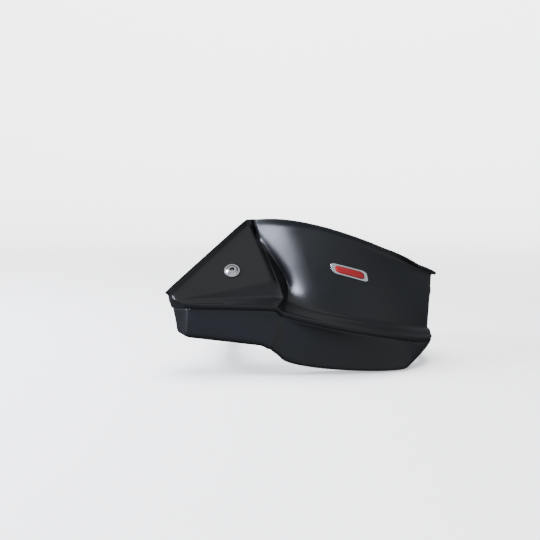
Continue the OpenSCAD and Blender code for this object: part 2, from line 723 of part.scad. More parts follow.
// Height of the clamp's flat front above and below the handlebar axis
clamp_pad_z = clamp_r * 0.6;
// Depth to which the clamp bolts' heads are let in
clamp_head_sink = 1;
clamp_seat_y = lug_y - clamp_head_sink;

module bar_bore() {
    rotate([0, 90, 0]) cylinder(d = bar_d, h = clamp_w + 2, center = true, $fn = bar_fn);
}
module bolt_holes(d) {
    for (z = [-clamp_bolt_z, clamp_bolt_z])
        translate([0, 0, z]) rotate([90, 0, 0]) cylinder(d = d, h = 4 * lug_z, center = true, $fn = round_fn);
}
// Half of the clamp's outside that lies on the side of the given sign
module clamp_half(way) {
    intersection() {
        union() {
            rotate([0, 90, 0]) cylinder(r = clamp_r, h = clamp_w, center = true, $fn = bar_fn);
            translate([-clamp_w / 2, -lug_y, -lug_z]) cube([clamp_w, 2 * lug_y, 2 * lug_z]);
        }
        translate([-clamp_w, way > 0 ? clamp_gap / 2 : -clamp_gap / 2 - 2 * lug_z, -2 * lug_z])
            cube([2 * clamp_w, 2 * lug_z, 4 * lug_z]);
    }
}

module clamp_front() {
    color("#3a3c40")
    difference() {
        union() {
            clamp_half(-1);
            translate([-clamp_w / 2, -clamp_front_y, -clamp_pad_z])
                cube([clamp_w, clamp_front_y - lug_y + 1, 2 * clamp_pad_z]);
        }
        bar_bore();
        bolt_holes(clamp_thread);
        on_bracket_bolt(-bracket_hole_l)
            cylinder(d = bracket_thread, h = bracket_hole_l + 1, $fn = round_fn);
    }
}

module clamp_rear() {
    color("#3a3c40")
    difference() {
        clamp_half(1);
        bar_bore();
        bolt_holes(clamp_thread + hole_play);
        for (z = [-clamp_bolt_z, clamp_bolt_z])
            translate([0, clamp_seat_y, z]) rotate([-90, 0, 0])
                cylinder(d = clamp_thread * (cap_head + 0.2), h = 2 * lug_y, $fn = round_fn);
    }
}

module clamp_bolts() {
    color("#c9cbce")
    for (z = [-clamp_bolt_z, clamp_bolt_z])
        translate([0, clamp_seat_y, z]) rotate([-90, 0, 0])
            cap_screw(clamp_thread, clamp_seat_y + lug_y - 1);
}

// Stay from the bar end to the shell's end wall
module on_bar(x) {
    translate([x, 0, 0]) rotate([0, 90, 0]) children();
}
module stay_arm(z) {
    hull() {
        circle(r = stay_eye, $fn = round_fn);
        translate([-stay_screw_y, z]) circle(r = stay_pad, $fn = round_fn);
    }
}

module stay_plate() {
    color("#8d9094")
    difference() {
        translate([stay_back_x, 0, 0]) rotate([90, 0, 90]) linear_extrude(stay_t) {
            stay_arm(stay_screw_z[0]);
            stay_arm(stay_screw_z[1]);
        }
        on_bar(stay_back_x - 1) cylinder(d = end_thread + hole_play, h = stay_t + 2, $fn = round_fn);
        for (i = [0, 1])
            on_stay_screw(i, stay_back_x - 1)
                cylinder(d = stay_thread + hole_play, h = stay_t + 2, $fn = round_fn);
    }
}

// Pockets in the end wall for the screw heads
screw_pocket_d = stay_thread * 2.1;
stay_nut_x = stay_back_x - washer_t;
module stay_screws() {
    color("#c9cbce")
    for (i = [0, 1])
        on_stay_screw(i, seat_x[i])
            button_screw(stay_thread, 0, seat_x[i] - stay_nut_x + stay_thread + thread_end);
}

module stay_collars() {
    color("#a9acb0")
    for (i = [0, 1])
        on_stay_screw(i, stay_x) ring(collar_d, stay_thread + hole_play / 2, seat_x[i] - stay_x);
}

module stay_washers() {
    color("#c4c6c9")
    for (i = [0, 1])
        on_stay_screw(i, stay_nut_x) plain_washer(stay_thread);
}

module stay_lock_nuts() {
    color("#b4b6ba")
    for (i = [0, 1])
        on_stay_screw(i, stay_nut_x) rotate([180, 0, 0]) lock_nut(stay_thread);
}

// Bar end: bolt, washer, weight, rubber expander and its cone
end_head_x = stay_x + washer_t;
expander_x = bar_end_x - expander_l;
// Straight collar of the cone outside the expander
cone_collar = 3;
cone_tip_d = end_thread + 3;
cone_seat_d = expander_d - 1;
end_hole_d = end_thread + hole_play;

module bar_end_bolt() {
    color("#c9cbce")
    on_bar(end_head_x) cap_screw(end_thread, end_head_x - expander_x + cone_collar + thread_end);
}

module bar_end_washer() {
    color("#c4c6c9") on_bar(stay_x) plain_washer(end_thread);
}

// Weight with chamfered ends and a shallow groove round it
weight_groove = [0.35, 4];
module bar_end_weight() {
    r = weight_d / 2;
    groove = weight_l * weight_groove[0];
    color("#77797d")
    on_bar(bar_end_x) rotate_extrude($fn = bar_fn)
        polygon([[end_hole_d / 2, 0], [r - 1, 0], [r, 1], [r, groove], [r - 1, groove + 1],
                 [r - 1, groove + weight_groove[1] - 1], [r, groove + weight_groove[1]],
                 [r, weight_l - 2], [r - 2, weight_l], [end_hole_d / 2, weight_l]]);
}

module cone_taper() {
    cylinder(d1 = cone_seat_d, d2 = cone_tip_d, h = cone_l, $fn = round_fn);
}

module expander_sleeve() {
    color("#26272a")
    on_bar(expander_x) difference() {
        cylinder(d = expander_d, h = expander_l, $fn = bar_fn);
        translate([0, 0, -1]) cylinder(d = end_hole_d, h = expander_l + 2, $fn = round_fn);
        cone_taper();
    }
}

module expander_cone() {
    color("#a9acb0")
    on_bar(expander_x) difference() {
        union() {
            cone_taper();
            translate([0, 0, -cone_collar]) cylinder(d = cone_seat_d, h = cone_collar, $fn = round_fn);
        }
        translate([0, 0, -cone_collar - 1])
            cylinder(d = end_thread, h = cone_collar + cone_l + 2, $fn = round_fn);
    }
}

guard_shell();
badge_plate();
badge_inlay();
front_bolt();
front_collar();
rubber_washer();
front_washer();
front_lock_nut();
inner_bracket();
bracket_bolt();
bracket_washer();
clamp_front();
clamp_rear();
clamp_bolts();
stay_plate();
stay_screws();
stay_collars();
stay_washers();
stay_lock_nuts();
bar_end_bolt();
bar_end_washer();
bar_end_weight();
expander_sleeve();
expander_cone();
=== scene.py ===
import json
import math

import bmesh
import bpy
from mathutils import Matrix, Vector

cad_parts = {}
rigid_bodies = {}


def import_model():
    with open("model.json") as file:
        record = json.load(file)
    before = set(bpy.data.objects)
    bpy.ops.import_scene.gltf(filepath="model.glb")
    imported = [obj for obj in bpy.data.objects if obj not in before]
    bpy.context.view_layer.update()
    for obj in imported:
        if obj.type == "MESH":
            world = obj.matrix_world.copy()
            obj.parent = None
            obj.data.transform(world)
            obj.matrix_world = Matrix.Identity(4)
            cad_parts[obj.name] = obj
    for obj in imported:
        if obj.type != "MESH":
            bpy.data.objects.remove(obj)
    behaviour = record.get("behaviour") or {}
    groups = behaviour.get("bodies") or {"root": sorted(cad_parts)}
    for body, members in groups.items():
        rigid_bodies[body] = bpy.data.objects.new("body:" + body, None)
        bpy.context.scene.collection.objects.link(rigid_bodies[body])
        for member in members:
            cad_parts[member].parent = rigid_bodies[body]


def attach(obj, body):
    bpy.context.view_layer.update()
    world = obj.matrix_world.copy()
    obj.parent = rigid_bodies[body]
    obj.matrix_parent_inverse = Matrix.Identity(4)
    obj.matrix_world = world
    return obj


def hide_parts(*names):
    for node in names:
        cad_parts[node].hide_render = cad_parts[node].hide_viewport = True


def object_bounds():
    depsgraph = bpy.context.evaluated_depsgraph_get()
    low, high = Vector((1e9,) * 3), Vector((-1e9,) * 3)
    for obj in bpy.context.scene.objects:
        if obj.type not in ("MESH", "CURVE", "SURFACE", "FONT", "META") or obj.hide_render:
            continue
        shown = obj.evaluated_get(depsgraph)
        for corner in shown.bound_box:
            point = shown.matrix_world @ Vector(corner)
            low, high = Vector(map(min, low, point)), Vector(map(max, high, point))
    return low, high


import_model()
cad_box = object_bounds()

# Lengths are in millimetres until a mesh is made. Names and most values follow the part's source. The inboard
# radius, the lip's outboard end, some points of the belly and hem, and the crescent have values of their own.
MM = 0.001
wall = 3
lip_edge = 2
lip_width = 5
bead_height = 2.6
bead_recess = 2.6
hem_depth = 12
hem_radius = 4
inboard_radius = 3.5
outboard_radius = 11
lip_root_radius = 2
crease_radius = 2
crest_width = 1
valley_bow = 5
valley_sink = 3
panel_bulge = 1.6

facet_lean = math.radians(42)
facet_reach = 70
bolt_height = 40
facet_corner = (-51.5, 22)
facet_peak = (15, 79.2)
fold_peak = (32.5, 32)
crease_corner = (-48.5, 18.4)
fold_level = 0.22

# Step from the facet's peak to the top of the crest, and middle of the facet's lower fold from its corner
peak_step = (3.5, 0.4)
fold_bow = (25, 1)
# How far the crescent's crest and valley are set back, the way they are set back, and the crest's own bow
crest_back = 8
valley_back = 5.4
inward = Vector((0.07, 0.99, -0.12))
crest_bow = Vector((1.6, -1, 0.4))
# Where the groove's middle lies between foot and crest, how far it dips below the facet, and the power by
# which the valley fades out along the panel
groove_reach = 0.45
groove_dip = 0.2
valley_fade = 6

UP = Vector((0, 0, 1))
facet_normal = Vector((0, -math.cos(facet_lean), math.sin(facet_lean)))


def mix(a, b, t):
    return a + (b - a) * t


def curve3(a, b, c, t):
    return mix(mix(a, b, t), mix(b, c, t), t)


def curve4(c, t):
    return mix(curve3(c[0], c[1], c[2], t), curve3(c[1], c[2], c[3], t), t)


def hump(t):
    return 4 * t * (1 - t)


def clamp01(t):
    return min(1.0, max(0.0, t))


def on_facet(side, height, off=0.0):
    y = -facet_reach + (height - bolt_height) * math.tan(facet_lean)
    return Vector((side, y, height)) + facet_normal * off


def vectors(points):
    return [Vector(p) for p in points]


bolt_seat = on_facet(0, bolt_height)

# The five edge lines of the shell, from the top down. Stations on each: side rear, inboard corner, groove
# foot, crest, valley, first and second curve handle, shoulder, outboard bend, end wall rear
TOP, CREASE, BEAD, BELLY, HEM = range(5)
lines = [
    [Vector((-56, -70, 19.5)), on_facet(*facet_corner), on_facet(*facet_peak),
     on_facet(facet_peak[0] + peak_step[0], facet_peak[1] + peak_step[1])]
    + vectors([(22.5, -41, 79.4), (66, -79, 84.3), (115, -95.5, 61.6),
               (164.7, -68, 42.3), (187.5, -57, 34.2), (189, -32, 31.7)]),
    [Vector((-55.5, -70, 14.5)), on_facet(*crease_corner)]
    + vectors([(37.5, -82.5, 18.8), (42.7, -93.4, 19), (47, -90.5, 16.4), (81, -105, 3.7),
               (128.4, -104.5, -0.9), (162, -80, -11.2), (182, -66.5, -16.2), (183, -32, -17)]),
    vectors([(-54, -72, 11.5), (-39, -94, 15.3), (23, -98.2, 14), (36, -99, 13.3),
             (42, -99.5, 8.3), (81, -111.5, -2.4), (128.4, -111, -7.4),
             (163, -86, -18.7), (185.5, -70.5, -23), (187, -32, -25.5)]),
    vectors([(-50, -72, -2), (-37.5, -93.2, 0), (25, -99, -3.5), (36.5, -100.2, -5),
             (43, -98, -7), (74, -101, -21), (136, -104, -34.5),
             (160, -87.5, -31.5), (184, -71.2, -26.4), (185, -32, -29.2)]),
    vectors([(-48.5, -72, -15), (-39.5, -92.5, -14), (24, -98.4, -21), (30, -99.4, -23.9),
             (40, -98, -31.2), (43, -98.6, -43.4), (142, -98, -48.6),
             (153.3, -90, -46.2), (180.5, -72, -31.8), (181.5, -32, -34.5)]),
]

# Columns of the shell: stretch and position along it. The groove rises from the facet to the crest, the tip
# is the crest's width, the wall falls from it to the valley, and the main stretch is the panel.
SIDE, TURN, FACET, GROOVE, TIP, WALL, MAIN, BEND, END = range(9)
column_counts = [10, 12, 34, 14, 4, 10, 110, 22, 10]
columns = [(s, i / n) for s, n in enumerate(column_counts) for i in range(n)] + [(END, 1.0)]


def crest_step(line):
    """Width of the crest at an edge line."""
    return Vector((1, 0.2, 0)) * crest_width * (0.2 if line == TOP else 1)


def edge_point(line, s, t):
    """A point of an edge line at a column."""
    e = lines[line]
    if s == SIDE or s == TURN or s == FACET:
        turn_in = e[1] + (e[0] - e[1]).normalized() * inboard_radius
        turn_out = e[1] + (e[2] - e[1]).normalized() * inboard_radius
        if s == SIDE:
            return mix(e[0], turn_in, t)
        return curve3(turn_in, e[1], turn_out, t) if s == TURN else mix(turn_out, e[2], t)
    if s == GROOVE:
        return mix(e[2], e[3], t)
    if s == TIP:
        return e[3] + crest_step(line) * t
    if s == WALL:
        return mix(e[3] + crest_step(line), e[4], t)
    if s == MAIN:
        return curve4(e[4:8], t)
    bend_out = e[8] + (e[9] - e[8]).normalized() * outboard_radius
    return curve3(e[7], e[8], bend_out, t) if s == BEND else mix(bend_out, e[9], t)


# Three lines that climb from the crease to the top between the facet and the panel: foot, crest and valley
fold_start = mix(edge_point(CREASE, FACET, 0), edge_point(TOP, FACET, 0), fold_level)
fold_corner = on_facet(fold_start.x, fold_start.z)
fold_middle = on_facet(facet_corner[0] + fold_bow[0], fold_corner.z + fold_bow[1])
fold_foot = on_facet(*fold_peak)


def above_fold(level):
    """Share of the way from the fold to the top."""
    return (level - fold_level) / (1 - fold_level)


def foot_line(level):
    if level < fold_level:
        return mix(lines[CREASE][2], fold_foot, level / fold_level)
    return mix(fold_foot, lines[TOP][2], above_fold(level))


def crest_line(level):
    bow = crest_bow * hump(level) * (1 - level / 2)
    return mix(lines[CREASE][3], lines[TOP][3], level) + bow + inward * crest_back * math.sqrt(1 - level)


def valley_offset(level):
    bow = valley_bow * 3 * hump(level) * (1 - level) ** 2
    back = valley_back * (hump(level) if level > 0.5 else 1.1 - 0.2 * level)
    sink = Vector((0, valley_sink * (1 - level), 0)) + inward * back
    return Vector((bow, 0.7 * bow, 0.2 * bow)) + sink


def valley_line(level):
    return mix(lines[CREASE][4], lines[TOP][4], level) + valley_offset(level)


def ridge_point(s, t, level, plain):
    """A point between the facet and the panel; plain leaves out the crest."""
    foot, crest, valley = foot_line(level), crest_line(level), valley_line(level)
    step = Vector((1, -0.1, 0)) * crest_width * (1 - 0.8 * level)
    if plain:
        span = t / 2 if s == GROOVE else 0.5 if s == TIP else 0.5 + t / 2
        return curve3(foot, mix(foot, valley, 0.5) - facet_normal / 2, valley, span)
    if s == GROOVE:
        reach = mix(foot, crest, groove_reach)
        flat = reach - facet_normal * ((reach - foot).dot(facet_normal) + groove_dip * (1 - level))
        return curve3(foot, flat, crest, t)
    if s == TIP:
        return crest + step * t
    return mix(crest + step, valley, t)


def panel_point(s, t, level, plain=False):
    """A point of the panel: level 0 is the crease, 1 the top."""
    low, high = edge_point(CREASE, s, t), edge_point(TOP, s, t)
    if s <= TURN:
        return mix(low, high, level)
    if s == FACET:
        fold = curve3(fold_corner, fold_middle, fold_foot, t)
        if level < fold_level:
            return mix(low, fold, level / fold_level)
        return mix(fold, high, above_fold(level))
    if s <= WALL:
        return ridge_point(s, t, level, plain)
    swell = Vector((0, -1, 0.2)) * panel_bulge * hump(level)
    if s == MAIN:
        valley = valley_offset(level) * (1 - t) ** valley_fade
        return mix(low, high, level) + valley + swell * clamp01(4 * t)
    return mix(low, high, level) + swell * (1 - t if s == BEND else 0)


# The lip turns out from the top line, in a direction that changes along it
facet_edge = (lines[TOP][2] - lines[TOP][1]).normalized()
lip_on_side = Vector((-0.9, 0, 0.43)).normalized()
lip_on_facet = (facet_normal.cross(facet_edge) * 0.75 + facet_normal * 0.65).normalized()
lip_on_peak = Vector((-0.05, -0.05, 1)).normalized()
lip_on_panel = Vector((0.03, -0.42, 0.9)).normalized()
lip_on_tip = Vector((0.8, -0.45, -0.1)).normalized()
lip_on_end = Vector((0.9, 0, -0.35)).normalized()
# Where along the facet and the panel the lip starts to turn to its next direction, and over what share
lip_turn, lip_turn_run = 0.8, 0.2


def lip_way(s, t):
    if s == SIDE:
        way = lip_on_side
    elif s == TURN:
        way = mix(lip_on_side, lip_on_facet, t)
    elif s == FACET:
        way = mix(lip_on_facet, lip_on_peak, clamp01((t - lip_turn) / lip_turn_run) ** 2)
    elif s <= WALL:
        way = lip_on_peak
    elif s == MAIN and t < lip_turn:
        way = mix(lip_on_peak, lip_on_panel, clamp01(t / 0.35))
    elif s == MAIN:
        way = mix(lip_on_panel, lip_on_tip, (t - lip_turn) / lip_turn_run)
    elif s == BEND:
        way = mix(lip_on_tip, lip_on_end, t)
    else:
        way = lip_on_end
    return way.normalized()


def lip_share(s, t):
    """Share of its full width that the lip has at a column."""
    if s == SIDE:
        return 0.6 + 0.3 * t
    if s == TURN:
        return 0.9 + 0.1 * t
    if s == BEND:
        return 1 - 0.15 * t
    return 0.85 - 0.15 * t if s == END else 1


def out_from(line, k):
    """Level direction straight out from an edge line at a column."""
    if GROOVE <= columns[k][0] <= WALL:
        d = lines[line][4] - lines[line][2]
    else:
        before, after = columns[max(0, k - 1)], columns[min(len(columns) - 1, k + 1)]
        d = edge_point(line, *after) - edge_point(line, *before)
    return Vector((d.x, d.y, 0)).normalized().cross(UP)


# A corner's curve takes at most this share of the stretches beside it, and this many steps
corner_share, corner_steps = 0.45, 4


def rounded_path(nodes, stretches, radii, counts):
    """Points along a chain of stretches, with a short curve at each node that has a radius."""
    points = []
    last = len(nodes) - 1
    ends = []
    for i in range(last):
        length = max(1e-6, (nodes[i + 1] - nodes[i]).length)
        ends.append((min(radii[i] / length, corner_share), 1 - min(radii[i + 1] / length, corner_share)))
    for i in range(last):
        a, b = ends[i]
        if i > 0 and radii[i] > 0:
            before = stretches[i - 1](ends[i - 1][1])
            after = stretches[i](a)
            points += [curve3(before, nodes[i], after, j / corner_steps) for j in range(1, corner_steps)]
        first = 0 if i == 0 or radii[i] > 0 else 1
        points += [stretches[i](mix(a, b, j / counts[i])) for j in range(first, counts[i] + 1)]
    return points


def straight(a, b):
    return lambda t: mix(a, b, t)


# Samples on the stretches of a section, from the lip's edge down to the hem's edge
section_counts = [3, 18, 5, 4, 1, 1, 1, 1, 1, 12, 4]
# Width at which the ledge and the face below the bead are at their full shape
full_ledge = 8
# The shallow groove behind the bead: distances back from the bead, its depth and the bead's rise
groove_back, bead_back, groove_depth, bead_rise = 3, 1.2, 0.6, 0.3
# How fast the groove fades out along the panel, and how far a round ledge bulges where there is none
groove_fade, ledge_bulge = 2.5, 2.4
# The bead's front and the recess below it: heights as shares of the bead's, and how far the front is set back
front_share, recess_share, front_back = 1.15, 1.4, 0.8
# Height of the face's top below the bead, and its share of the recess at the corner and from the facet on
recess_height, corner_recess, face_recess = 2.2, 0.9, 0.6
# How far a plain section's rim lies below the bead, its next rows as shares of the way to the belly, and how
# far the hem's free edge lies above its outer edge
rim_drop, rim_shares, hem_rise = 0.6, (0.03, 0.08, 0.16), 1


def groove_share(s, t):
    """How much of the groove behind the bead a column has."""
    if s == SIDE:
        return 0
    if s == TURN:
        return t * t
    if s < MAIN:
        return 1
    return clamp01(1 - groove_fade * t) if s == MAIN else 0


def section(k, plain):
    """Outer section at a column; plain leaves out the crest, the bead and the small radii."""
    s, t = columns[k]
    top = panel_point(s, t, 1, plain)
    fold = panel_point(s, t, fold_level, plain)
    crease = panel_point(s, t, 0, plain)
    bead = edge_point(BEAD, s, t)
    belly = edge_point(BELLY, s, t)
    hem = edge_point(HEM, s, t)
    out, under = out_from(BEAD, k), out_from(HEM, k)
    slope = (bead - crease).normalized()
    ledge = clamp01((bead - crease).length / full_ledge)
    groove = ledge * groove_share(s, t)
    roll = ledge - groove if s >= MAIN else 0
    fade = clamp01((bead.z - belly.z) / full_ledge)
    lip = top + lip_way(s, t) * lip_width * lip_share(s, t)
    if plain:
        rim = bead - UP * rim_drop
        ridge = [bead - slope * groove_back * ledge, bead - slope * bead_back * ledge, rim]
        ridge += [mix(rim, belly, share) for share in rim_shares]
        radii = [0, 3, 1.5, 3, 0, 0, 1, 0, 0, 0, 5, 0]
    else:
        set_in = corner_recess if s < FACET else face_recess
        ridge = [bead - slope * groove_back * ledge - UP * groove_depth * groove,
                 bead - slope * bead_back * ledge + UP * bead_rise * groove,
                 bead,
                 bead - UP * bead_height * fade * front_share - out * front_back,
                 bead - UP * bead_height * fade * recess_share - out * bead_recess,
                 bead - UP * (bead_height + recess_height) * fade - out * bead_recess * set_in]
        radii = [0, lip_root_radius, 1.5, crease_radius, 1.2, 0.6, 0.6, 0.5, 0.8, 1, hem_radius, 0]
    face = ridge[-1]
    swell = belly * 2 - (face + hem) / 2
    bulge = (out * 0.5 + UP * 0.85) * ledge_bulge * roll
    nodes = [lip, top, fold, crease] + ridge + [hem, hem - under * hem_depth + UP * hem_rise]
    # The panel above and below the fold, the ledge and the lower face are curved, the rest is straight
    stretches = [straight(a, b) for a, b in zip(nodes, nodes[1:])]
    stretches[1] = lambda v: panel_point(s, t, mix(1, fold_level, v), plain)
    stretches[2] = lambda v: panel_point(s, t, mix(fold_level, 0, v), plain)
    stretches[3] = lambda v: curve3(crease, (crease + ridge[0]) / 2 + bulge, ridge[0], v)
    stretches[9] = lambda v: curve3(face, swell, hem, v)
    # Between the ends, a sharp node gets a tiny radius, so that every section has as many points
    radii = [r if r or i in (0, len(radii) - 1) else 0.01 for i, r in enumerate(radii)]
    return rounded_path(nodes, stretches, radii, section_counts)


def soften_columns(rows, station, reach):
    """Rounds the corner that a station makes across the columns of a grid."""
    span = 12
    k = sum(column_counts[:station])
    for j in range(len(rows[0])):
        corner = rows[k][j].copy()
        old = [rows[i][j].copy() for i in range(len(rows))]
        near = [i for i in range(k - span, k + span + 1)
                if 0 <= i < len(rows) and (old[i] - corner).length < reach]
        first, last = min(near), max(near)
        if last - first < 2:
            continue
        for i in range(first, last + 1):
            rows[i][j] = curve3(old[first], corner, old[last], (i - first) / (last - first))


def grid_normal(rows, k, j):
    along = rows[min(len(rows) - 1, k + 1)][j] - rows[max(0, k - 1)][j]
    down = rows[k][min(len(rows[0]) - 1, j + 1)] - rows[k][max(0, j - 1)]
    return down.cross(along).normalized()


# The rounded rim along the free edges: its depth, the steps round it and at the ends, and how square it is
rim_depth, rim_steps, cap_steps, rim_power = 0.7, 6, 4, 0.6
# Rows from the lip's edge over which the wall grows to its full thickness, and the hem's least thickness
thin_rows, hem_least = 4, 1


def edge_round(p, q, way):
    """Points that lead from p round a free edge to q; way points out of the material."""
    middle = (p + q) / 2
    half = (p - q) / 2
    points = []
    for i in range(1, rim_steps):
        a = math.pi * i / rim_steps
        across = math.copysign(abs(math.cos(a)) ** rim_power, math.cos(a))
        points.append(middle + half * across + way * (rim_depth * (math.sin(a) ** rim_power - 1)))
    return points


def set_back(plain):
    """The inner face: plain sections set back by the wall."""
    hem_start = len(plain[0]) - section_counts[-1]
    rows = []
    for k in range(len(columns)):
        row = []
        for j in range(len(plain[0])):
            depth = mix(lip_edge, wall, clamp01(j / thin_rows))
            point = plain[k][j] - grid_normal(plain, k, j) * depth
            if j >= hem_start:
                point.z = max(point.z, plain[k][j].z + hem_least)
            row.append(point)
        rows.append(row)
    return rows


def closed_ring(o, i):
    """An outer and an inner section, joined by a rounded rim at the hem and at the lip."""
    lip_out = (o[0] - o[1]).normalized()
    hem_out = (o[-1] - o[-2]).normalized()
    o = [o[0] - lip_out * rim_depth] + o[1:-1] + [o[-1] - hem_out * rim_depth]
    i = [i[0] - lip_out * rim_depth] + i[1:-1] + [i[-1] - hem_out * rim_depth]
    hem_rim = edge_round(o[-1] + hem_out * rim_depth, i[-1] + hem_out * rim_depth, hem_out)
    lip_rim = edge_round(i[0] + lip_out * rim_depth, o[0] + lip_out * rim_depth, lip_out)
    return o + hem_rim + i[::-1] + lip_rim


def ring_partners(last_row, count):
    """For each point of a closed ring, the point across the wall from it."""
    partner = [0] * count
    for j in range(last_row + 1):
        partner[j] = last_row + rim_steps + last_row - j
        partner[partner[j]] = j
    low = 2 * last_row + rim_steps + 1
    for j in range(rim_steps - 1):
        partner[last_row + 1 + j] = last_row + 1 + rim_steps - 2 - j
        partner[low + j] = low + rim_steps - 2 - j
    return partner


def end_rings(ring, beside, partner):
    """The end ring drawn back a little, and the rings that close the shell over it with a rounded rim."""
    count = len(ring)
    made = []
    for step in range(1, cap_steps + 1):
        a = math.pi / 2 * step / cap_steps
        across = max(0.0, math.cos(a)) ** rim_power if step < cap_steps else 0.0
        new = []
        for j in range(count):
            way = (ring[j] - beside[j]).normalized()
            middle = (ring[j] + ring[partner[j]]) / 2
            out = way * rim_depth * (math.sin(a) ** rim_power - 1)
            new.append(middle + (ring[j] - middle) * across + out)
        if step == cap_steps:
            new = [(new[j] + new[partner[j]]) / 2 for j in range(count)]
        made.append(new)
    shrunk = [ring[j] - (ring[j] - beside[j]).normalized() * rim_depth for j in range(count)]
    return shrunk, made


def build_shell():
    """The moulding as one closed loft of rings, each an outer and an inner section."""
    outer = [section(k, False) for k in range(len(columns))]
    plain = [section(k, True) for k in range(len(columns))]
    soften_columns(outer, TIP, 0.9)
    soften_columns(outer, WALL, 0.9)
    soften_columns(outer, MAIN, 2.2)
    soften_columns(plain, MAIN, 6)
    rings = [closed_ring(o, i) for o, i in zip(outer, set_back(plain))]
    count = len(rings[0])
    partner = ring_partners(len(outer[0]) - 1, count)
    first, before = end_rings(rings[0], rings[1], partner)
    last, after = end_rings(rings[-1], rings[-2], partner)
    rings = before[::-1] + [first] + rings[1:-1] + [last] + after
    bm = bmesh.new()
    verts = [[bm.verts.new(p * MM) for p in ring] for ring in rings]
    for a, b in zip(verts, verts[1:]):
        for j in range(count):
            n = (j + 1) % count
            bm.faces.new((a[j], b[j], b[n], a[n]))
    bmesh.ops.remove_doubles(bm, verts=bm.verts, dist=1e-7)
    bmesh.ops.dissolve_degenerate(bm, edges=bm.edges, dist=1e-7)
    bmesh.ops.recalc_face_normals(bm, faces=bm.faces)
    return bm


def add_piece(name, bm, smooth_angle=35):
    """Object with smooth shading and sharp edges past an angle."""
    mesh = bpy.data.meshes.new(name)
    bm.to_mesh(mesh)
    bm.free()
    piece = bpy.data.objects.new(name, mesh)
    bpy.context.scene.collection.objects.link(piece)
    mesh.shade_smooth()
    mesh.set_sharp_from_angle(angle=math.radians(smooth_angle))
    return piece


def lathe(profile, steps, place=None, closed=True):
    """Solid of revolution round Z; the profile runs from the axis or a bore back to it, or is left open."""
    bm = bmesh.new()
    rings = []
    for r, z in profile:
        if r < 1e-6:
            rings.append([bm.verts.new((0, 0, z))] * steps)
        else:
            turns = [math.tau * i / steps for i in range(steps)]
            rings.append([bm.verts.new((r * math.cos(a), r * math.sin(a), z)) for a in turns])
    bored = closed and profile[0][0] > 1e-6
    pairs = list(zip(rings, rings[1:])) + ([(rings[-1], rings[0])] if bored else [])
    for a, b in pairs:
        for i in range(steps):
            n = (i + 1) % steps
            corners = []
            for v in (a[i], a[n], b[n], b[i]):
                if v not in corners:
                    corners.append(v)
            if len(corners) > 2:
                bm.faces.new(corners)
    bmesh.ops.recalc_face_normals(bm, faces=bm.faces)
    if place is not None:
        bmesh.ops.transform(bm, matrix=place, verts=bm.verts)
    return bm


def disc(r, low, high):
    """Profile of a plain cylinder."""
    return [(0, low), (r, low), (r, high), (0, high)]


def scaled(place):
    """Turns a placement in millimetres into one that makes metres."""
    return Matrix.Scale(MM, 4) @ place


def cut(piece, cutter_bm, operation="DIFFERENCE"):
    """Cuts a solid out of a piece, or joins or intersects the two."""
    mesh = bpy.data.meshes.new("cutter")
    cutter_bm.to_mesh(mesh)
    cutter_bm.free()
    cutter = bpy.data.objects.new("cutter", mesh)
    bpy.context.scene.collection.objects.link(cutter)
    change = piece.modifiers.new("cut", "BOOLEAN")
    change.object = cutter
    change.operation = operation
    change.solver = "EXACT"
    with bpy.context.temp_override(object=piece, active_object=piece):
        bpy.ops.object.modifier_apply(modifier=change.name)
    bpy.data.objects.remove(cutter)
    bpy.data.meshes.remove(mesh)


# Placements: Z out of the facet at its bolt, and Z outboard on the stay screws and the bar
front_axis = Matrix.Translation(bolt_seat) @ Matrix.Rotation(math.pi / 2 - facet_lean, 4, "X")
on_bar = Matrix.Rotation(math.pi / 2, 4, "Y")
forward = Matrix.Rotation(math.pi / 2, 4, "X")
backward = Matrix.Rotation(-math.pi / 2, 4, "X")
bar_end_x, weight_l, stay_t = 150, 22, 4
stay_back_x = bar_end_x + weight_l
stay_x = stay_back_x + stay_t
stay_screw_y, stay_screw_z = 46, (18, -5)
boss_d, collar_d, stay_thread, screw_sink = 15, 9, 6, 2.5


def end_wall_x(z):
    """Where the end wall's outer face lies at a height."""
    low, high = lines[CREASE][9], lines[TOP][9]
    return mix(low.x, high.x, (z - low.z) / (high.z - low.z))


boss_x = [end_wall_x(z - boss_d / 2) for z in stay_screw_z]
seat_x = [x - screw_sink for x in boss_x]


def stay_axis(i, x):
    return Matrix.Translation((x, -stay_screw_y, stay_screw_z[i])) @ on_bar


# Badge
badge_span = (0.405, 0.635)
badge_level = (0.57, 0.575)
badge_height = 9.5
badge_pocket = 0.8
badge_proud = 1
inlay_dome = 0.7
badge_rim = 1.6
# Width of bare metal at the badge's two ends, past its rim
badge_ends = (2.2, 1.6)
inlay_floor = badge_proud - inlay_dome
# Length over which each end of the badge rounds off
badge_curve = 4.5
# A level of the badge's loft that runs its full length
whole = (0, 0)


def badge_point(i, along=0.0, rise=0.0):
    """A point of the panel on the badge's middle line, or beside it."""
    return panel_point(MAIN, mix(*badge_span, i) + along, mix(*badge_level, i) + rise)


def badge_frame(i):
    """Middle of the badge at a position, with the directions out of the panel and up along it."""
    rise = (badge_point(i, 0, 0.05) - badge_point(i, 0, -0.05)).normalized()
    out = (badge_point(i, 0.02) - badge_point(i, -0.02)).cross(rise).normalized()
    return badge_point(i), out, rise


badge_length = (badge_point(1) - badge_point(0)).length


def badge_half(i, inset, ends):
    """Half height of the badge at a position, less an inset, with rounded ends."""
    edge = min(i * badge_length - ends[0], (1 - i) * badge_length - ends[1]) - inset
    share = clamp01(edge / (badge_curve - inset * 0.5))
    full = badge_height / 2 - inset
    return full * (0.5 + 0.5 * math.sqrt(max(0.0, 1 - (1 - share) ** 2)))


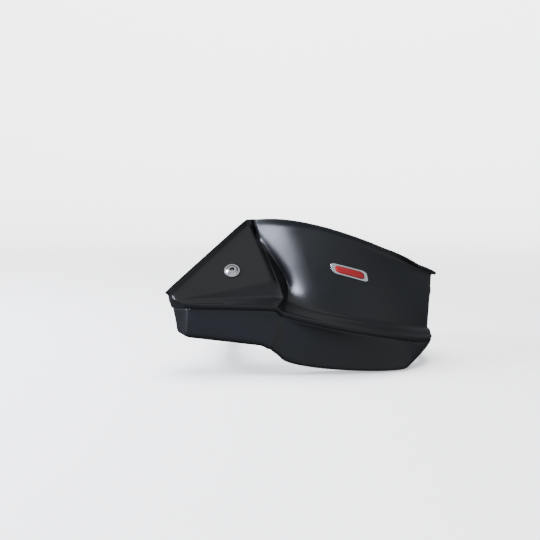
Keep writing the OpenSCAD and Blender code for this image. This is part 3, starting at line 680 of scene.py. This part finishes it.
def badge_solid(levels, stations=48, across=8):
    """Loft along the badge; each level is a height above the panel, an inset and more inset at the ends."""
    bm = bmesh.new()
    rings = []
    for height, inset, ends in levels:
        low, high = [], []
        for n in range(stations + 1):
            a = (1 - math.cos(math.pi * n / stations)) / 2
            i = mix((inset + ends[0]) / badge_length, 1 - (inset + ends[1]) / badge_length, a)
            m, out, rise = badge_frame(i)
            h = badge_half(i, inset, ends)
            lift = height(i) if callable(height) else height
            low.append(m + out * lift - rise * h)
            high.append(m + out * lift + rise * h)
        right = [mix(low[-1], high[-1], v / across) for v in range(1, across)]
        left = [mix(high[0], low[0], v / across) for v in range(1, across)]
        loop = low + right + high[::-1] + left
        rings.append([bm.verts.new(p * MM) for p in loop])
    for a, b in zip(rings, rings[1:]):
        for j in range(len(a)):
            n = (j + 1) % len(a)
            bm.faces.new((a[j], a[n], b[n], b[j]))

    def lid(ring, flip):
        """Closes the loft with a grid."""
        low = ring[:stations + 1]
        high = ring[stations + across:2 * stations + across + 1][::-1]
        right = [low[-1]] + ring[stations + 1:stations + across] + [high[-1]]
        left = [low[0]] + ring[2 * stations + across + 1:][::-1] + [high[0]]
        grid = [left]
        for n in range(1, stations):
            column = [low[n]]
            for v in range(1, across):
                column.append(bm.verts.new(mix(low[n].co, high[n].co, v / across)))
            grid.append(column + [high[n]])
        grid.append(right)
        for a, b in zip(grid, grid[1:]):
            for v in range(across):
                corners = (a[v], b[v], b[v + 1], a[v + 1])
                bm.faces.new(corners[::-1] if flip else corners)

    lid(rings[0], True)
    lid(rings[-1], False)
    bmesh.ops.recalc_face_normals(bm, faces=bm.faces)
    return bm


# Moulded shell: the loft with bosses for the stay screws, the hole for the front bolt's collar, holes for the
# stay's collars with pockets for the screws' heads, and the badge's pocket
round_steps = 48
edge_break = 0.6
boss_foot, boss_gap = 0.3, 0.5
pocket_r = stay_thread * 2.1 / 2
pocket_wall, pocket_flare = 2.2, 1.4
shell = add_piece("moulded_shell", build_shell(), 40)
for i in (0, 1):
    r = boss_d / 2
    length = boss_x[i] - boss_gap - stay_x
    profile = [(0, 0), (r - edge_break, 0), (r, edge_break), (r, length * 0.5), (r + boss_foot, length),
               (0, length)]
    cut(shell, lathe(profile, round_steps, scaled(stay_axis(i, stay_x))), "UNION")
r = collar_d / 2
cut(shell, lathe(disc(r, -8, 8), round_steps, scaled(front_axis)))
for i in (0, 1):
    seat = seat_x[i] - stay_x
    mouth, flared = seat + pocket_wall, pocket_r + pocket_flare
    profile = [(0, -1), (r, -1), (r, seat), (pocket_r, seat), (pocket_r, mouth),
               (flared, mouth + pocket_flare), (flared, 30), (0, 30)]
    cut(shell, lathe(profile, round_steps, scaled(stay_axis(i, stay_x))))
# The pocket is this much wider than the badge on every side, as a negative inset
badge_play = -0.12
cut(shell, badge_solid([(-badge_pocket, badge_play, whole), (3, badge_play, whole)]))
shell.data.shade_smooth()
shell.data.set_sharp_from_angle(angle=math.radians(40))
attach(shell, "root")
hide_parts("guard_shell")

# Badge plate and inlay
plate = add_piece("badge_frame_plate", badge_solid([
    (-badge_pocket, 0.1, whole), (badge_proud - 0.45, 0, whole), (badge_proud - 0.2, 0.08, whole),
    (badge_proud - 0.04, 0.28, whole), (badge_proud, 0.5, whole), (badge_proud, badge_rim - 0.35, badge_ends),
    (badge_proud - 0.12, badge_rim - 0.12, badge_ends), (inlay_floor, badge_rim, badge_ends)]), 50)
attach(plate, "root")
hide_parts("badge_plate")


def dome(share):
    """Height of the inlay's face along the badge, at a share of the way from its edge to its crown."""
    def height(i):
        crown = inlay_dome * (0.35 + 0.65 * math.sqrt(max(0, hump(i))))
        return mix(badge_proud - 0.1, badge_proud + crown, share)
    return height


inlay = add_piece("badge_dome_inlay", badge_solid([
    (height, badge_rim + inset, badge_ends) for height, inset in (
        (inlay_floor, 0.05), (dome(0), 0.05), (dome(0.45), 0.3), (dome(0.75), 0.8), (dome(0.93), 1.3),
        (dome(1), 1.9))]), 60)
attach(inlay, "root")
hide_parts("badge_inlay")


# Hardware: fasteners drawn with Z out of the head and the seat at zero. Sizes of heads and nuts are shares of
# the thread's diameter.
button_across, button_rim, button_dome = 1.75, 0.1, 0.45
button_socket, button_floor, button_mouth = 0.77, 0.08, 0.52
button_flange, button_foot = 0.2, 0.3
cap_across, cap_socket, cap_floor = 1.65, 0.96, 0.5
hex_across, hex_head_h = 1.85, 0.65
nut_h, nut_collar = 0.75, 1.45
button_arc = [(math.cos(math.radians(a)), math.sin(math.radians(a))) for a in range(90, 14, -5)]
# Rings to a turn of thread, its depth and its chamfered end as shares of the pitch
thread_steps, thread_depth, thread_chamfer = 8, 0.576, 0.8
washer_t, collar_bore = 1.6, 6.3
# Threads as diameter and pitch, and washers as outer and inner diameter
m6, m8 = (6, 1), (8, 1.25)
washer_m6, washer_m8 = (12, 6.6), (16, 8.6)
thread_before, thread_past = 2, 8


def add_thread(bm, r, pitch, start, end, around=32):
    """Screw thread of a cylinder between two heights, the last turn chamfered."""
    count = max(2, round(abs(end - start) / pitch * thread_steps))
    rings = []
    for i in range(count + 1):
        z = mix(start, end, i / count)
        tip = clamp01(1 - abs(end - z) / (thread_chamfer * pitch)) * 0.16 * r
        turn = []
        for j in range(around):
            share = (z / pitch - j / around) % 1
            radius = r - thread_depth * pitch * min(share, 1 - share) ** 1.2 - tip
            a = math.tau * j / around
            turn.append(bm.verts.new((radius * math.cos(a), radius * math.sin(a), z)))
        rings.append(turn)
    for a, b in zip(rings, rings[1:]):
        for j in range(around):
            n = (j + 1) % around
            bm.faces.new((a[j], b[j], b[n], a[n]))
    bm.faces.new(rings[0])
    bm.faces.new(rings[-1][::-1])


def taken(piece):
    """Mesh of a piece made only to be placed, which is then removed."""
    bm = bmesh.new()
    bm.from_mesh(piece.data)
    mesh = piece.data
    bpy.data.objects.remove(piece)
    bpy.data.meshes.remove(mesh)
    return bm


def socketed(profile, across, floor, mouth):
    """Lathed head with a hexagon socket that has a chamfered mouth and a drilled floor."""
    head = add_piece("head", lathe(profile, 64))
    chamfer = [(0, mouth - 0.5), (across * 0.44, mouth - 0.5), (across * 0.62, mouth + 1), (0, mouth + 1)]
    drill = [(0, floor - 0.8), (across * 0.3, floor - 0.2), (across * 0.34, floor + 0.4), (0, floor + 0.4)]
    cut(head, lathe(disc(across / 2, floor, mouth + 2), 6))
    cut(head, lathe(chamfer, 48))
    cut(head, lathe(drill, 32))
    return taken(head)


def button_head(d, flange_d, plain_l):
    """Button head, on a flange if it has one, with its plain shank."""
    r = d * button_across / 2
    profile = [(r * c, d * (button_rim + button_dome * z)) for c, z in button_arc]
    if flange_d:
        f, t = flange_d / 2, d * button_flange
        profile = [p for p in profile if p[1] > d * button_foot]
        profile += [(r - 0.1, t + 0.25), (r + 0.1, t + 0.06), (f - 0.5, t - 0.12), (f - 0.15, t - 0.25),
                    (f, t - 0.55), (f, 0.25), (f - 0.2, 0)]
    else:
        profile += [(r, d * 0.08), (r - 0.15, 0)]
    profile[0] = (0, profile[0][1])
    profile += [(d / 2, 0), (d / 2, -plain_l), (0, -plain_l)]
    return socketed(profile, d * button_socket, d * button_floor, d * button_mouth)


def cap_head(d, plain_l):
    """Socket cap head with its plain shank."""
    r = d * cap_across / 2
    profile = [(0, d), (r - 0.8, d), (r - 0.35, d - 0.12), (r - 0.08, d - 0.4), (r, d - 0.8), (r, 0.3),
               (r - 0.25, 0), (d / 2, 0), (d / 2, -plain_l), (0, -plain_l)]
    return socketed(profile, d * cap_socket, d * cap_floor, d)


def hex_head(d, plain_l):
    """Hexagon head with chamfered corners and its plain shank."""
    r, h = d * hex_across / 2, d * hex_head_h
    head = add_piece("head", lathe(disc(r, 0, h), 6))
    envelope = [(0, -1), (r * 0.98, -1), (r * 1.02, 0.3), (r * 1.02, h * 0.78), (r * 0.84, h),
                (r * 0.6, h + 0.02), (0, h + 0.02)]
    shank = [(0, h * 0.5), (d / 2, h * 0.5), (d / 2, -plain_l), (0, -plain_l)]
    cut(head, lathe(envelope, 64), "INTERSECT")
    cut(head, lathe(shank, 48), "UNION")
    return taken(head)


def lock_nut(d):
    """Hexagon nut with chamfered corners and a rolled collar over its insert."""
    r, h, c = d * hex_across / 2, d * nut_h, d * nut_collar / 2
    nut = add_piece("nut", lathe(disc(r, 0, h), 6))
    envelope = [(0, -0.1), (r * 0.86, -0.1), (r * 1.02, h * 0.2), (r * 1.02, h * 0.8), (r * 0.84, h + 0.1),
                (0, h + 0.1)]
    collar = [(0, h * 0.5), (c, h * 0.5), (c, d - 0.7), (c - 0.2, d - 0.2), (c - 0.7, d), (0, d)]
    bore = [(0, -1), (d / 2 + 0.6, -1), (d / 2 + 0.02, 0.4), (d / 2 + 0.02, h), (d * 0.58, h + 0.2),
            (d * 0.58, d + 1), (0, d + 1)]
    cut(nut, lathe(envelope, 64), "INTERSECT")
    cut(nut, lathe(collar, 64), "UNION")
    cut(nut, lathe(bore, 48))
    return taken(nut)


def ring(outer_d, inner_d, h, edge=0.25):
    """Washer, collar or cushion with softened edges."""
    o, i = outer_d / 2, inner_d / 2
    soft = edge * 0.3
    return lathe([(i, edge), (i + edge, 0), (o - edge, 0), (o - soft, soft), (o, edge), (o, h - edge),
                  (o - soft, h - soft), (o - edge, h), (i + edge, h), (i, h - edge)], 64)


hardware = []


def stand_for(piece, node, slot_name):
    """Lets a piece ride on the part in the place of a node, with the finish of a slot."""
    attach(piece, "root")
    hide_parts(node)
    hardware.append((piece, slot_name))


def place_all(name, node, slot_name, places, makers, smooth_angle=35):
    """One piece made of a solid at each place, standing for a node of the part."""
    joined = bmesh.new()
    for place, maker in zip(places, makers):
        bm = maker()
        mesh = bpy.data.meshes.new("placed")
        bm.to_mesh(mesh)
        bm.free()
        mesh.transform(scaled(place))
        joined.from_mesh(mesh)
        bpy.data.meshes.remove(mesh)
    stand_for(add_piece(name, joined, smooth_angle), node, slot_name)


def screw(head, thread, plain_l, length):
    """Maker of a screw: a head with its plain shank and the threaded rest of its length."""
    d, pitch = thread

    def make():
        bm = head(plain_l)
        add_thread(bm, d / 2, pitch, -plain_l + 0.05, -length)
        return bm
    return make


def button_screw(flange_d, grip):
    """Maker of an M6 button screw through a grip; its thread starts before the nut and shows past it."""
    return screw(lambda l: button_head(m6[0], flange_d, l), m6, grip - thread_before, grip + thread_past)


def washers(size):
    return [lambda: ring(*size, washer_t)] * 2


def nuts():
    return [lambda: lock_nut(m6[0])] * 2


# Depths along the front bolt, measured in from the facet
rubber_t, strip_t = 3, 4
rubber_z = wall + rubber_t
front_nut_z = rubber_z + strip_t + washer_t
front_flange, rubber_d = 13.6, 22
turned = Matrix.Rotation(math.pi, 4, "X")


def below(z):
    return front_axis @ Matrix.Translation((0, 0, -z))


place_all("front_flange_screw", "front_bolt", "stainless_steel", [front_axis],
          [button_screw(front_flange, front_nut_z)])
place_all("front_spacer", "front_collar", "zinc_steel", [below(rubber_z)],
          [lambda: ring(collar_d, collar_bore, rubber_z, 0.2)])
place_all("rubber_cushion", "rubber_washer", "black_rubber", [below(rubber_z)],
          [lambda: ring(rubber_d, collar_d, rubber_t, 0.7)])
place_all("front_flat_washer", "front_washer", "stainless_steel", [below(front_nut_z)], washers(washer_m6))
place_all("front_nut", "front_lock_nut", "zinc_steel", [below(front_nut_z) @ turned], nuts(), 30)

# The two stay screws, from their seats in the end wall through the stay
stay_nut_x = stay_back_x - washer_t
stay_places = [stay_axis(i, seat_x[i]) for i in (0, 1)]
nut_places = [stay_axis(i, stay_nut_x) for i in (0, 1)]
place_all("stay_button_screws", "stay_screws", "stainless_steel", stay_places,
          [button_screw(0, x - stay_nut_x) for x in seat_x])
place_all("stay_spacers", "stay_collars", "zinc_steel", [stay_axis(i, stay_x) for i in (0, 1)],
          [lambda x=x: ring(collar_d, collar_bore, x - stay_x, 0.2) for x in seat_x])
place_all("stay_flat_washers", "stay_washers", "zinc_steel", nut_places, washers(washer_m6))
place_all("stay_nuts", "stay_lock_nuts", "zinc_steel", [place @ turned for place in nut_places],
          nuts(), 30)

# Bracket bolt and clamp bolts; each thread ends just short of the end of its hole
clamp_front_y, bracket_hole_l, bracket_plain_l = 26, 12.9, 5
bracket_grip = strip_t + washer_t
clamp_seat_y, clamp_bolt_z, clamp_plain_l, clamp_bolt_l = 12, 17, 12, 24
place_all("bracket_hex_bolt", "bracket_bolt", "zinc_steel",
          [Matrix.Translation((0, -(clamp_front_y + bracket_grip), 0)) @ forward],
          [screw(lambda l: hex_head(m8[0], l), m8, bracket_plain_l, bracket_grip + bracket_hole_l - 1)], 30)
place_all("bracket_flat_washer", "bracket_washer", "zinc_steel",
          [Matrix.Translation((0, -(clamp_front_y + strip_t), 0)) @ forward], washers(washer_m8))
place_all("clamp_cap_screws", "clamp_bolts", "zinc_steel",
          [Matrix.Translation((0, clamp_seat_y, z)) @ backward for z in (-clamp_bolt_z, clamp_bolt_z)],
          [screw(lambda l: cap_head(m6[0], l), m6, clamp_plain_l, clamp_bolt_l)] * 2)

# Bar-end bolt, through the stay and the weight into the expander
expander_l, cone_collar, thread_end, end_plain_l = 30, 3, 2, 28
end_x = stay_x + washer_t
end_bolt_l = end_x - (bar_end_x - expander_l) + cone_collar + thread_end
place_all("bar_end_cap_screw", "bar_end_bolt", "stainless_steel",
          [Matrix.Translation((end_x, 0, 0)) @ on_bar],
          [screw(lambda l: cap_head(m8[0], l), m8, end_plain_l, end_bolt_l)])
place_all("bar_end_flat_washer", "bar_end_washer", "zinc_steel",
          [Matrix.Translation((stay_x, 0, 0)) @ on_bar], washers(washer_m8))

# Edges sharper than this angle are rounded on the softened copies, in degrees
soft_angle = 32


def softened(name, node, slot_name, width):
    """Copy of a node's shape with its sharp edges rounded off."""
    bm = bmesh.new()
    for obj in list(bpy.data.objects):
        if obj.type == "MESH" and (obj.name == node or obj.name.startswith(node + ".")):
            copy = obj.data.copy()
            copy.transform(obj.matrix_world)
            bm.from_mesh(copy)
            bpy.data.meshes.remove(copy)
    bmesh.ops.remove_doubles(bm, verts=bm.verts, dist=1e-6)
    bmesh.ops.dissolve_limit(bm, angle_limit=math.radians(1), verts=bm.verts, edges=bm.edges)
    piece = add_piece(name, bm, soft_angle)
    change = piece.modifiers.new("edges", "BEVEL")
    change.width = width * MM
    change.segments = 3
    change.limit_method = "ANGLE"
    change.angle_limit = math.radians(soft_angle)
    with bpy.context.temp_override(object=piece, active_object=piece):
        bpy.ops.object.modifier_apply(modifier=change.name)
    piece.data.shade_smooth()
    piece.data.set_sharp_from_angle(angle=math.radians(soft_angle))
    stand_for(piece, node, slot_name)


softened("bent_bracket", "inner_bracket", "black_steel", 0.6)
softened("clamp_front_half", "clamp_front", "black_aluminium", 0.7)
softened("clamp_rear_half", "clamp_rear", "black_aluminium", 0.7)
softened("stay_arms", "stay_plate", "stay_aluminium", 0.6)
softened("weight", "bar_end_weight", "stay_aluminium", 0.5)
softened("sleeve", "expander_sleeve", "black_rubber", 0.5)
softened("cone", "expander_cone", "zinc_steel", 0.4)


# Materials
def new_material(name):
    material = bpy.data.materials.new(name)
    material.use_nodes = True
    tree = material.node_tree
    return material, tree, tree.nodes["Principled BSDF"]


def texture_point(tree, scale=(1, 1, 1)):
    """Object coordinates, stretched along an axis where a finish is drawn."""
    place = tree.nodes.new("ShaderNodeTexCoord")
    mapping = tree.nodes.new("ShaderNodeMapping")
    mapping.inputs["Scale"].default_value = scale
    tree.links.new(place.outputs["Object"], mapping.inputs["Vector"])
    return mapping.outputs["Vector"]


def noise(tree, point, scale, detail=4.0, rough=0.55):
    node = tree.nodes.new("ShaderNodeTexNoise")
    node.inputs["Scale"].default_value = scale
    node.inputs["Detail"].default_value = detail
    node.inputs["Roughness"].default_value = rough
    tree.links.new(point, node.inputs["Vector"])
    return node.outputs["Fac"]


def spread(tree, value, low, high, start=0.3, end=0.7, ease="LINEAR"):
    """Maps a value from start and end to low and high."""
    node = tree.nodes.new("ShaderNodeMapRange")
    node.interpolation_type = ease
    for key, number in (("From Min", start), ("From Max", end), ("To Min", low), ("To Max", high)):
        node.inputs[key].default_value = number
    tree.links.new(value, node.inputs["Value"])
    return node.outputs["Result"]


def blend_colours(tree, value, low, high):
    node = tree.nodes.new("ShaderNodeMix")
    node.data_type = "RGBA"
    node.inputs[6].default_value = (*low, 1)
    node.inputs[7].default_value = (*high, 1)
    tree.links.new(value, node.inputs[0])
    return node.outputs[2]


def bump(tree, height, strength, distance, under=None):
    node = tree.nodes.new("ShaderNodeBump")
    node.inputs["Strength"].default_value = strength
    node.inputs["Distance"].default_value = distance
    tree.links.new(height, node.inputs["Height"])
    if under is not None:
        tree.links.new(under, node.inputs["Normal"])
    return node.outputs["Normal"]


def plastic(name, low, high, rough, grain_scale, grain_depth, specular=0.5):
    """Moulded plastic: a fine grain over small cells, with a slightly cloudy tone and gloss."""
    material, tree, shader = new_material(name)
    point = texture_point(tree)
    cloud = noise(tree, point, 22, 5)
    grain = noise(tree, point, grain_scale, 3, 0.7)
    cells = tree.nodes.new("ShaderNodeTexVoronoi")
    cells.inputs["Scale"].default_value = grain_scale * 0.6
    tree.links.new(point, cells.inputs["Vector"])
    colour = blend_colours(tree, spread(tree, cloud, 0, 1), low, high)
    tree.links.new(colour, shader.inputs["Base Color"])
    tree.links.new(spread(tree, cloud, rough - 0.03, rough + 0.05), shader.inputs["Roughness"])
    first = bump(tree, grain, 0.35, grain_depth)
    tree.links.new(bump(tree, cells.outputs["Distance"], 0.2, grain_depth, first), shader.inputs["Normal"])
    shader.inputs["Specular IOR Level"].default_value = specular
    return material


def metal(name, low, high, rough, brush=(1, 1, 1), brush_scale=900, depth=0.00002, metallic=1.0):
    """Metal with a drawn or turned finish and a slightly cloudy tone, with painted shade that darkens its
    recesses.
    """
    material, tree, shader = new_material(name)
    point = texture_point(tree)
    cloud = noise(tree, point, 60, 4)
    # Painted shade: ambient occlusion darkens the base colour in recesses such as screw sockets.
    hollow_shade = tree.nodes.new("ShaderNodeAmbientOcclusion")
    hollow_shade.inputs["Distance"].default_value = 0.003
    tone = tree.nodes.new("ShaderNodeMix")
    tone.data_type = "RGBA"
    tone.blend_type = "MULTIPLY"
    tone.inputs[0].default_value = 1
    drawn = noise(tree, texture_point(tree, brush), brush_scale, 3, 0.6)
    tree.links.new(blend_colours(tree, spread(tree, cloud, 0, 1), low, high), tone.inputs[6])
    # Painted shade mask: open faces keep their colour, deep recesses turn nearly black.
    painted_shade_mask = spread(tree, hollow_shade.outputs["AO"], 0, 1, 0.3, 0.85)
    tree.links.new(blend_colours(tree, painted_shade_mask, (0.05, 0.05, 0.05), (1, 1, 1)), tone.inputs[7])
    tree.links.new(tone.outputs[2], shader.inputs["Base Color"])
    tree.links.new(spread(tree, drawn, rough - 0.06, rough + 0.08), shader.inputs["Roughness"])
    tree.links.new(bump(tree, drawn, 0.3, depth), shader.inputs["Normal"])
    shader.inputs["Metallic"].default_value = metallic
    return material


shell_plastic = plastic("shell_plastic", (0.006, 0.0068, 0.0075), (0.009, 0.0098, 0.0108), 0.3, 2600, 0.00003)
badge_metal = metal("badge_metal", (0.72, 0.73, 0.75), (0.82, 0.83, 0.85), 0.24, (1, 6, 6), 700)
badge_red = plastic("badge_red", (0.42, 0.012, 0.016), (0.52, 0.018, 0.022), 0.16, 500, 0.00001)
stainless = metal("stainless_steel", (0.74, 0.74, 0.75), (0.86, 0.86, 0.87), 0.2, brush_scale=1200)
zinc = metal("zinc_steel", (0.55, 0.56, 0.57), (0.68, 0.68, 0.66), 0.32, brush_scale=700)
black_steel = metal("black_steel", (0.03, 0.031, 0.033), (0.05, 0.051, 0.053), 0.42, depth=0.00004,
                    metallic=0.4)
black_aluminium = metal("black_aluminium", (0.02, 0.021, 0.023), (0.034, 0.035, 0.038), 0.34,
                        brush_scale=1500, depth=0.00003, metallic=0.6)
stay_aluminium = metal("stay_aluminium", (0.50, 0.51, 0.53), (0.60, 0.61, 0.62), 0.3, (8, 1, 8), 600)
black_rubber = plastic("black_rubber", (0.018, 0.018, 0.018), (0.028, 0.028, 0.027), 0.72, 1400, 0.00006, 0.3)

finish = {"stainless_steel": stainless, "zinc_steel": zinc, "black_rubber": black_rubber,
          "black_steel": black_steel, "black_aluminium": black_aluminium, "stay_aluminium": stay_aluminium}


def paint(obj, material):
    obj.data.materials.clear()
    obj.data.materials.append(material)


paint(shell, shell_plastic)
paint(plate, badge_metal)
paint(inlay, badge_red)
for piece, slot_name in hardware:
    paint(piece, finish[slot_name])

# Pale floor that curves up into a round backdrop. It has its own light, and the object doesn't mirror it.
# Its sizes are in metres.
floor_z = cad_box[0][2] - 0.0004
floor_r, curve_r, wall_z = 1.4, 0.9, 2.4
profile = [(floor_r * i / 8, floor_z) for i in range(8)]
for degrees in range(0, 91, 6):
    a = math.radians(degrees)
    profile.append((floor_r + curve_r * math.sin(a), floor_z + curve_r * (1 - math.cos(a))))
profile.append((floor_r + curve_r, wall_z))
floor = add_piece("floor", lathe(profile, 96, closed=False), 80)
floor_material, tree, shader = new_material("floor_pale")
point = texture_point(tree)
tint = blend_colours(tree, noise(tree, point, 6), (0.86, 0.87, 0.88), (0.9, 0.9, 0.9))
tree.links.new(tint, shader.inputs["Base Color"])
shader.inputs["Roughness"].default_value = 0.8
shader.inputs["Specular IOR Level"].default_value = 0.2
shader.inputs["Emission Color"].default_value = (0.98, 0.99, 1, 1)
distance = tree.nodes.new("ShaderNodeVectorMath")
distance.operation = "LENGTH"
tree.links.new(point, distance.inputs[0])
brighter = spread(tree, distance.outputs["Value"], 0.6, 5, 0.5, 3.5)
tree.links.new(brighter, shader.inputs["Emission Strength"])
paint(floor, floor_material)
floor.visible_glossy = False
floor.visible_diffuse = False
floor.visible_shadow = False

# Camera at the photograph's viewpoint; the focal length is in the photograph's pixels
photo_side, focal, sensor = 540, 500, 36
camera_data = bpy.data.cameras.new("camera")
camera_data.sensor_width = sensor
camera_data.lens = focal / photo_side * sensor
camera_data.clip_start = 0.02
camera_data.clip_end = 20
camera = bpy.data.objects.new("camera", camera_data)
bpy.context.scene.collection.objects.link(camera)
camera.location = (0.0029, -0.5059, 0.0942)
camera.rotation_euler = Vector((0.0692, 0.9901, -0.1219)).to_track_quat("-Z", "Y").to_euler()
bpy.context.scene.camera = camera


# Lights: one key from the left, rolled so that its reflection follows the crest, and one for the floor alone
def area(name, place, target, size, power, colour=(1, 1, 1), size_y=None):
    data = bpy.data.lights.new(name, "AREA")
    data.energy = power
    data.color = colour
    data.size = size
    if size_y:
        data.shape = "RECTANGLE"
        data.size_y = size_y
    light = bpy.data.objects.new(name, data)
    light.location = place
    light.rotation_euler = (Vector(target) - Vector(place)).to_track_quat("-Z", "Y").to_euler()
    bpy.context.scene.collection.objects.link(light)
    return light


key_roll = Matrix.Rotation(math.radians(-38), 3, "Z")
key = area("key", (-0.9, -0.13, 0.36), (0.04, -0.08, 0.03), 0.36, 31, (0.8, 0.84, 1), 0.66)
key.rotation_euler = (key.rotation_euler.to_matrix() @ key_roll).to_euler()
floor_light = area("floor_light", (0, 0, 2.2), (0, 0, 0), 1.6, 130)
lit = bpy.data.collections.new("lit_floor")
lit.objects.link(floor)
floor_light.light_linking.receiver_collection = lit

# Surroundings that the object mirrors: soft glows from above, the front, the right and behind. Each has a
# direction, a strength, the cosines at which it starts and is full, and a colour.
dim = 0.016
glows = (
    ((-0.2, -0.22, 1), 0.64, 0.58, 1, (1, 1, 1)),
    ((0, -1, -0.15), 0.34, 0.2, 0.95, (0.9, 0.95, 1)),
    ((0.7, -0.5, 0.4), 0.25, 0.35, 0.95, (0.85, 0.93, 1)),
    ((-0.35, -0.9, -0.15), 0.5, 0.86, 1, (0.5, 0.6, 1)),
    ((0.6, -0.65, -0.4), 0.24, 0.55, 0.95, (0.88, 0.94, 1)),
    ((0.68, 0.37, 0.6), 0.22, 0.6, 0.98, (0.88, 0.94, 1)),
    ((0, 0.75, 0.65), 0.15, 0.75, 1, (1, 1, 1)))
world = bpy.data.worlds.new("studio")
bpy.context.scene.world = world
world.use_nodes = True
tree = world.node_tree
direction = tree.nodes.new("ShaderNodeTexCoord").outputs["Generated"]
total = None
for towards, strength, start, full, colour in glows:
    dot = tree.nodes.new("ShaderNodeVectorMath")
    dot.operation = "DOT_PRODUCT"
    dot.inputs[1].default_value = Vector(towards).normalized()
    tree.links.new(direction, dot.inputs[0])
    glow = tree.nodes.new("ShaderNodeBackground")
    glow.inputs["Color"].default_value = (*colour, 1)
    level = spread(tree, dot.outputs["Value"], dim, strength, start, full, "SMOOTHSTEP")
    tree.links.new(level, glow.inputs["Strength"])
    if total is None:
        total = glow.outputs[0]
    else:
        add = tree.nodes.new("ShaderNodeAddShader")
        tree.links.new(total, add.inputs[0])
        tree.links.new(glow.outputs[0], add.inputs[1])
        total = add.outputs[0]
tree.links.new(total, tree.nodes["World Output"].inputs["Surface"])
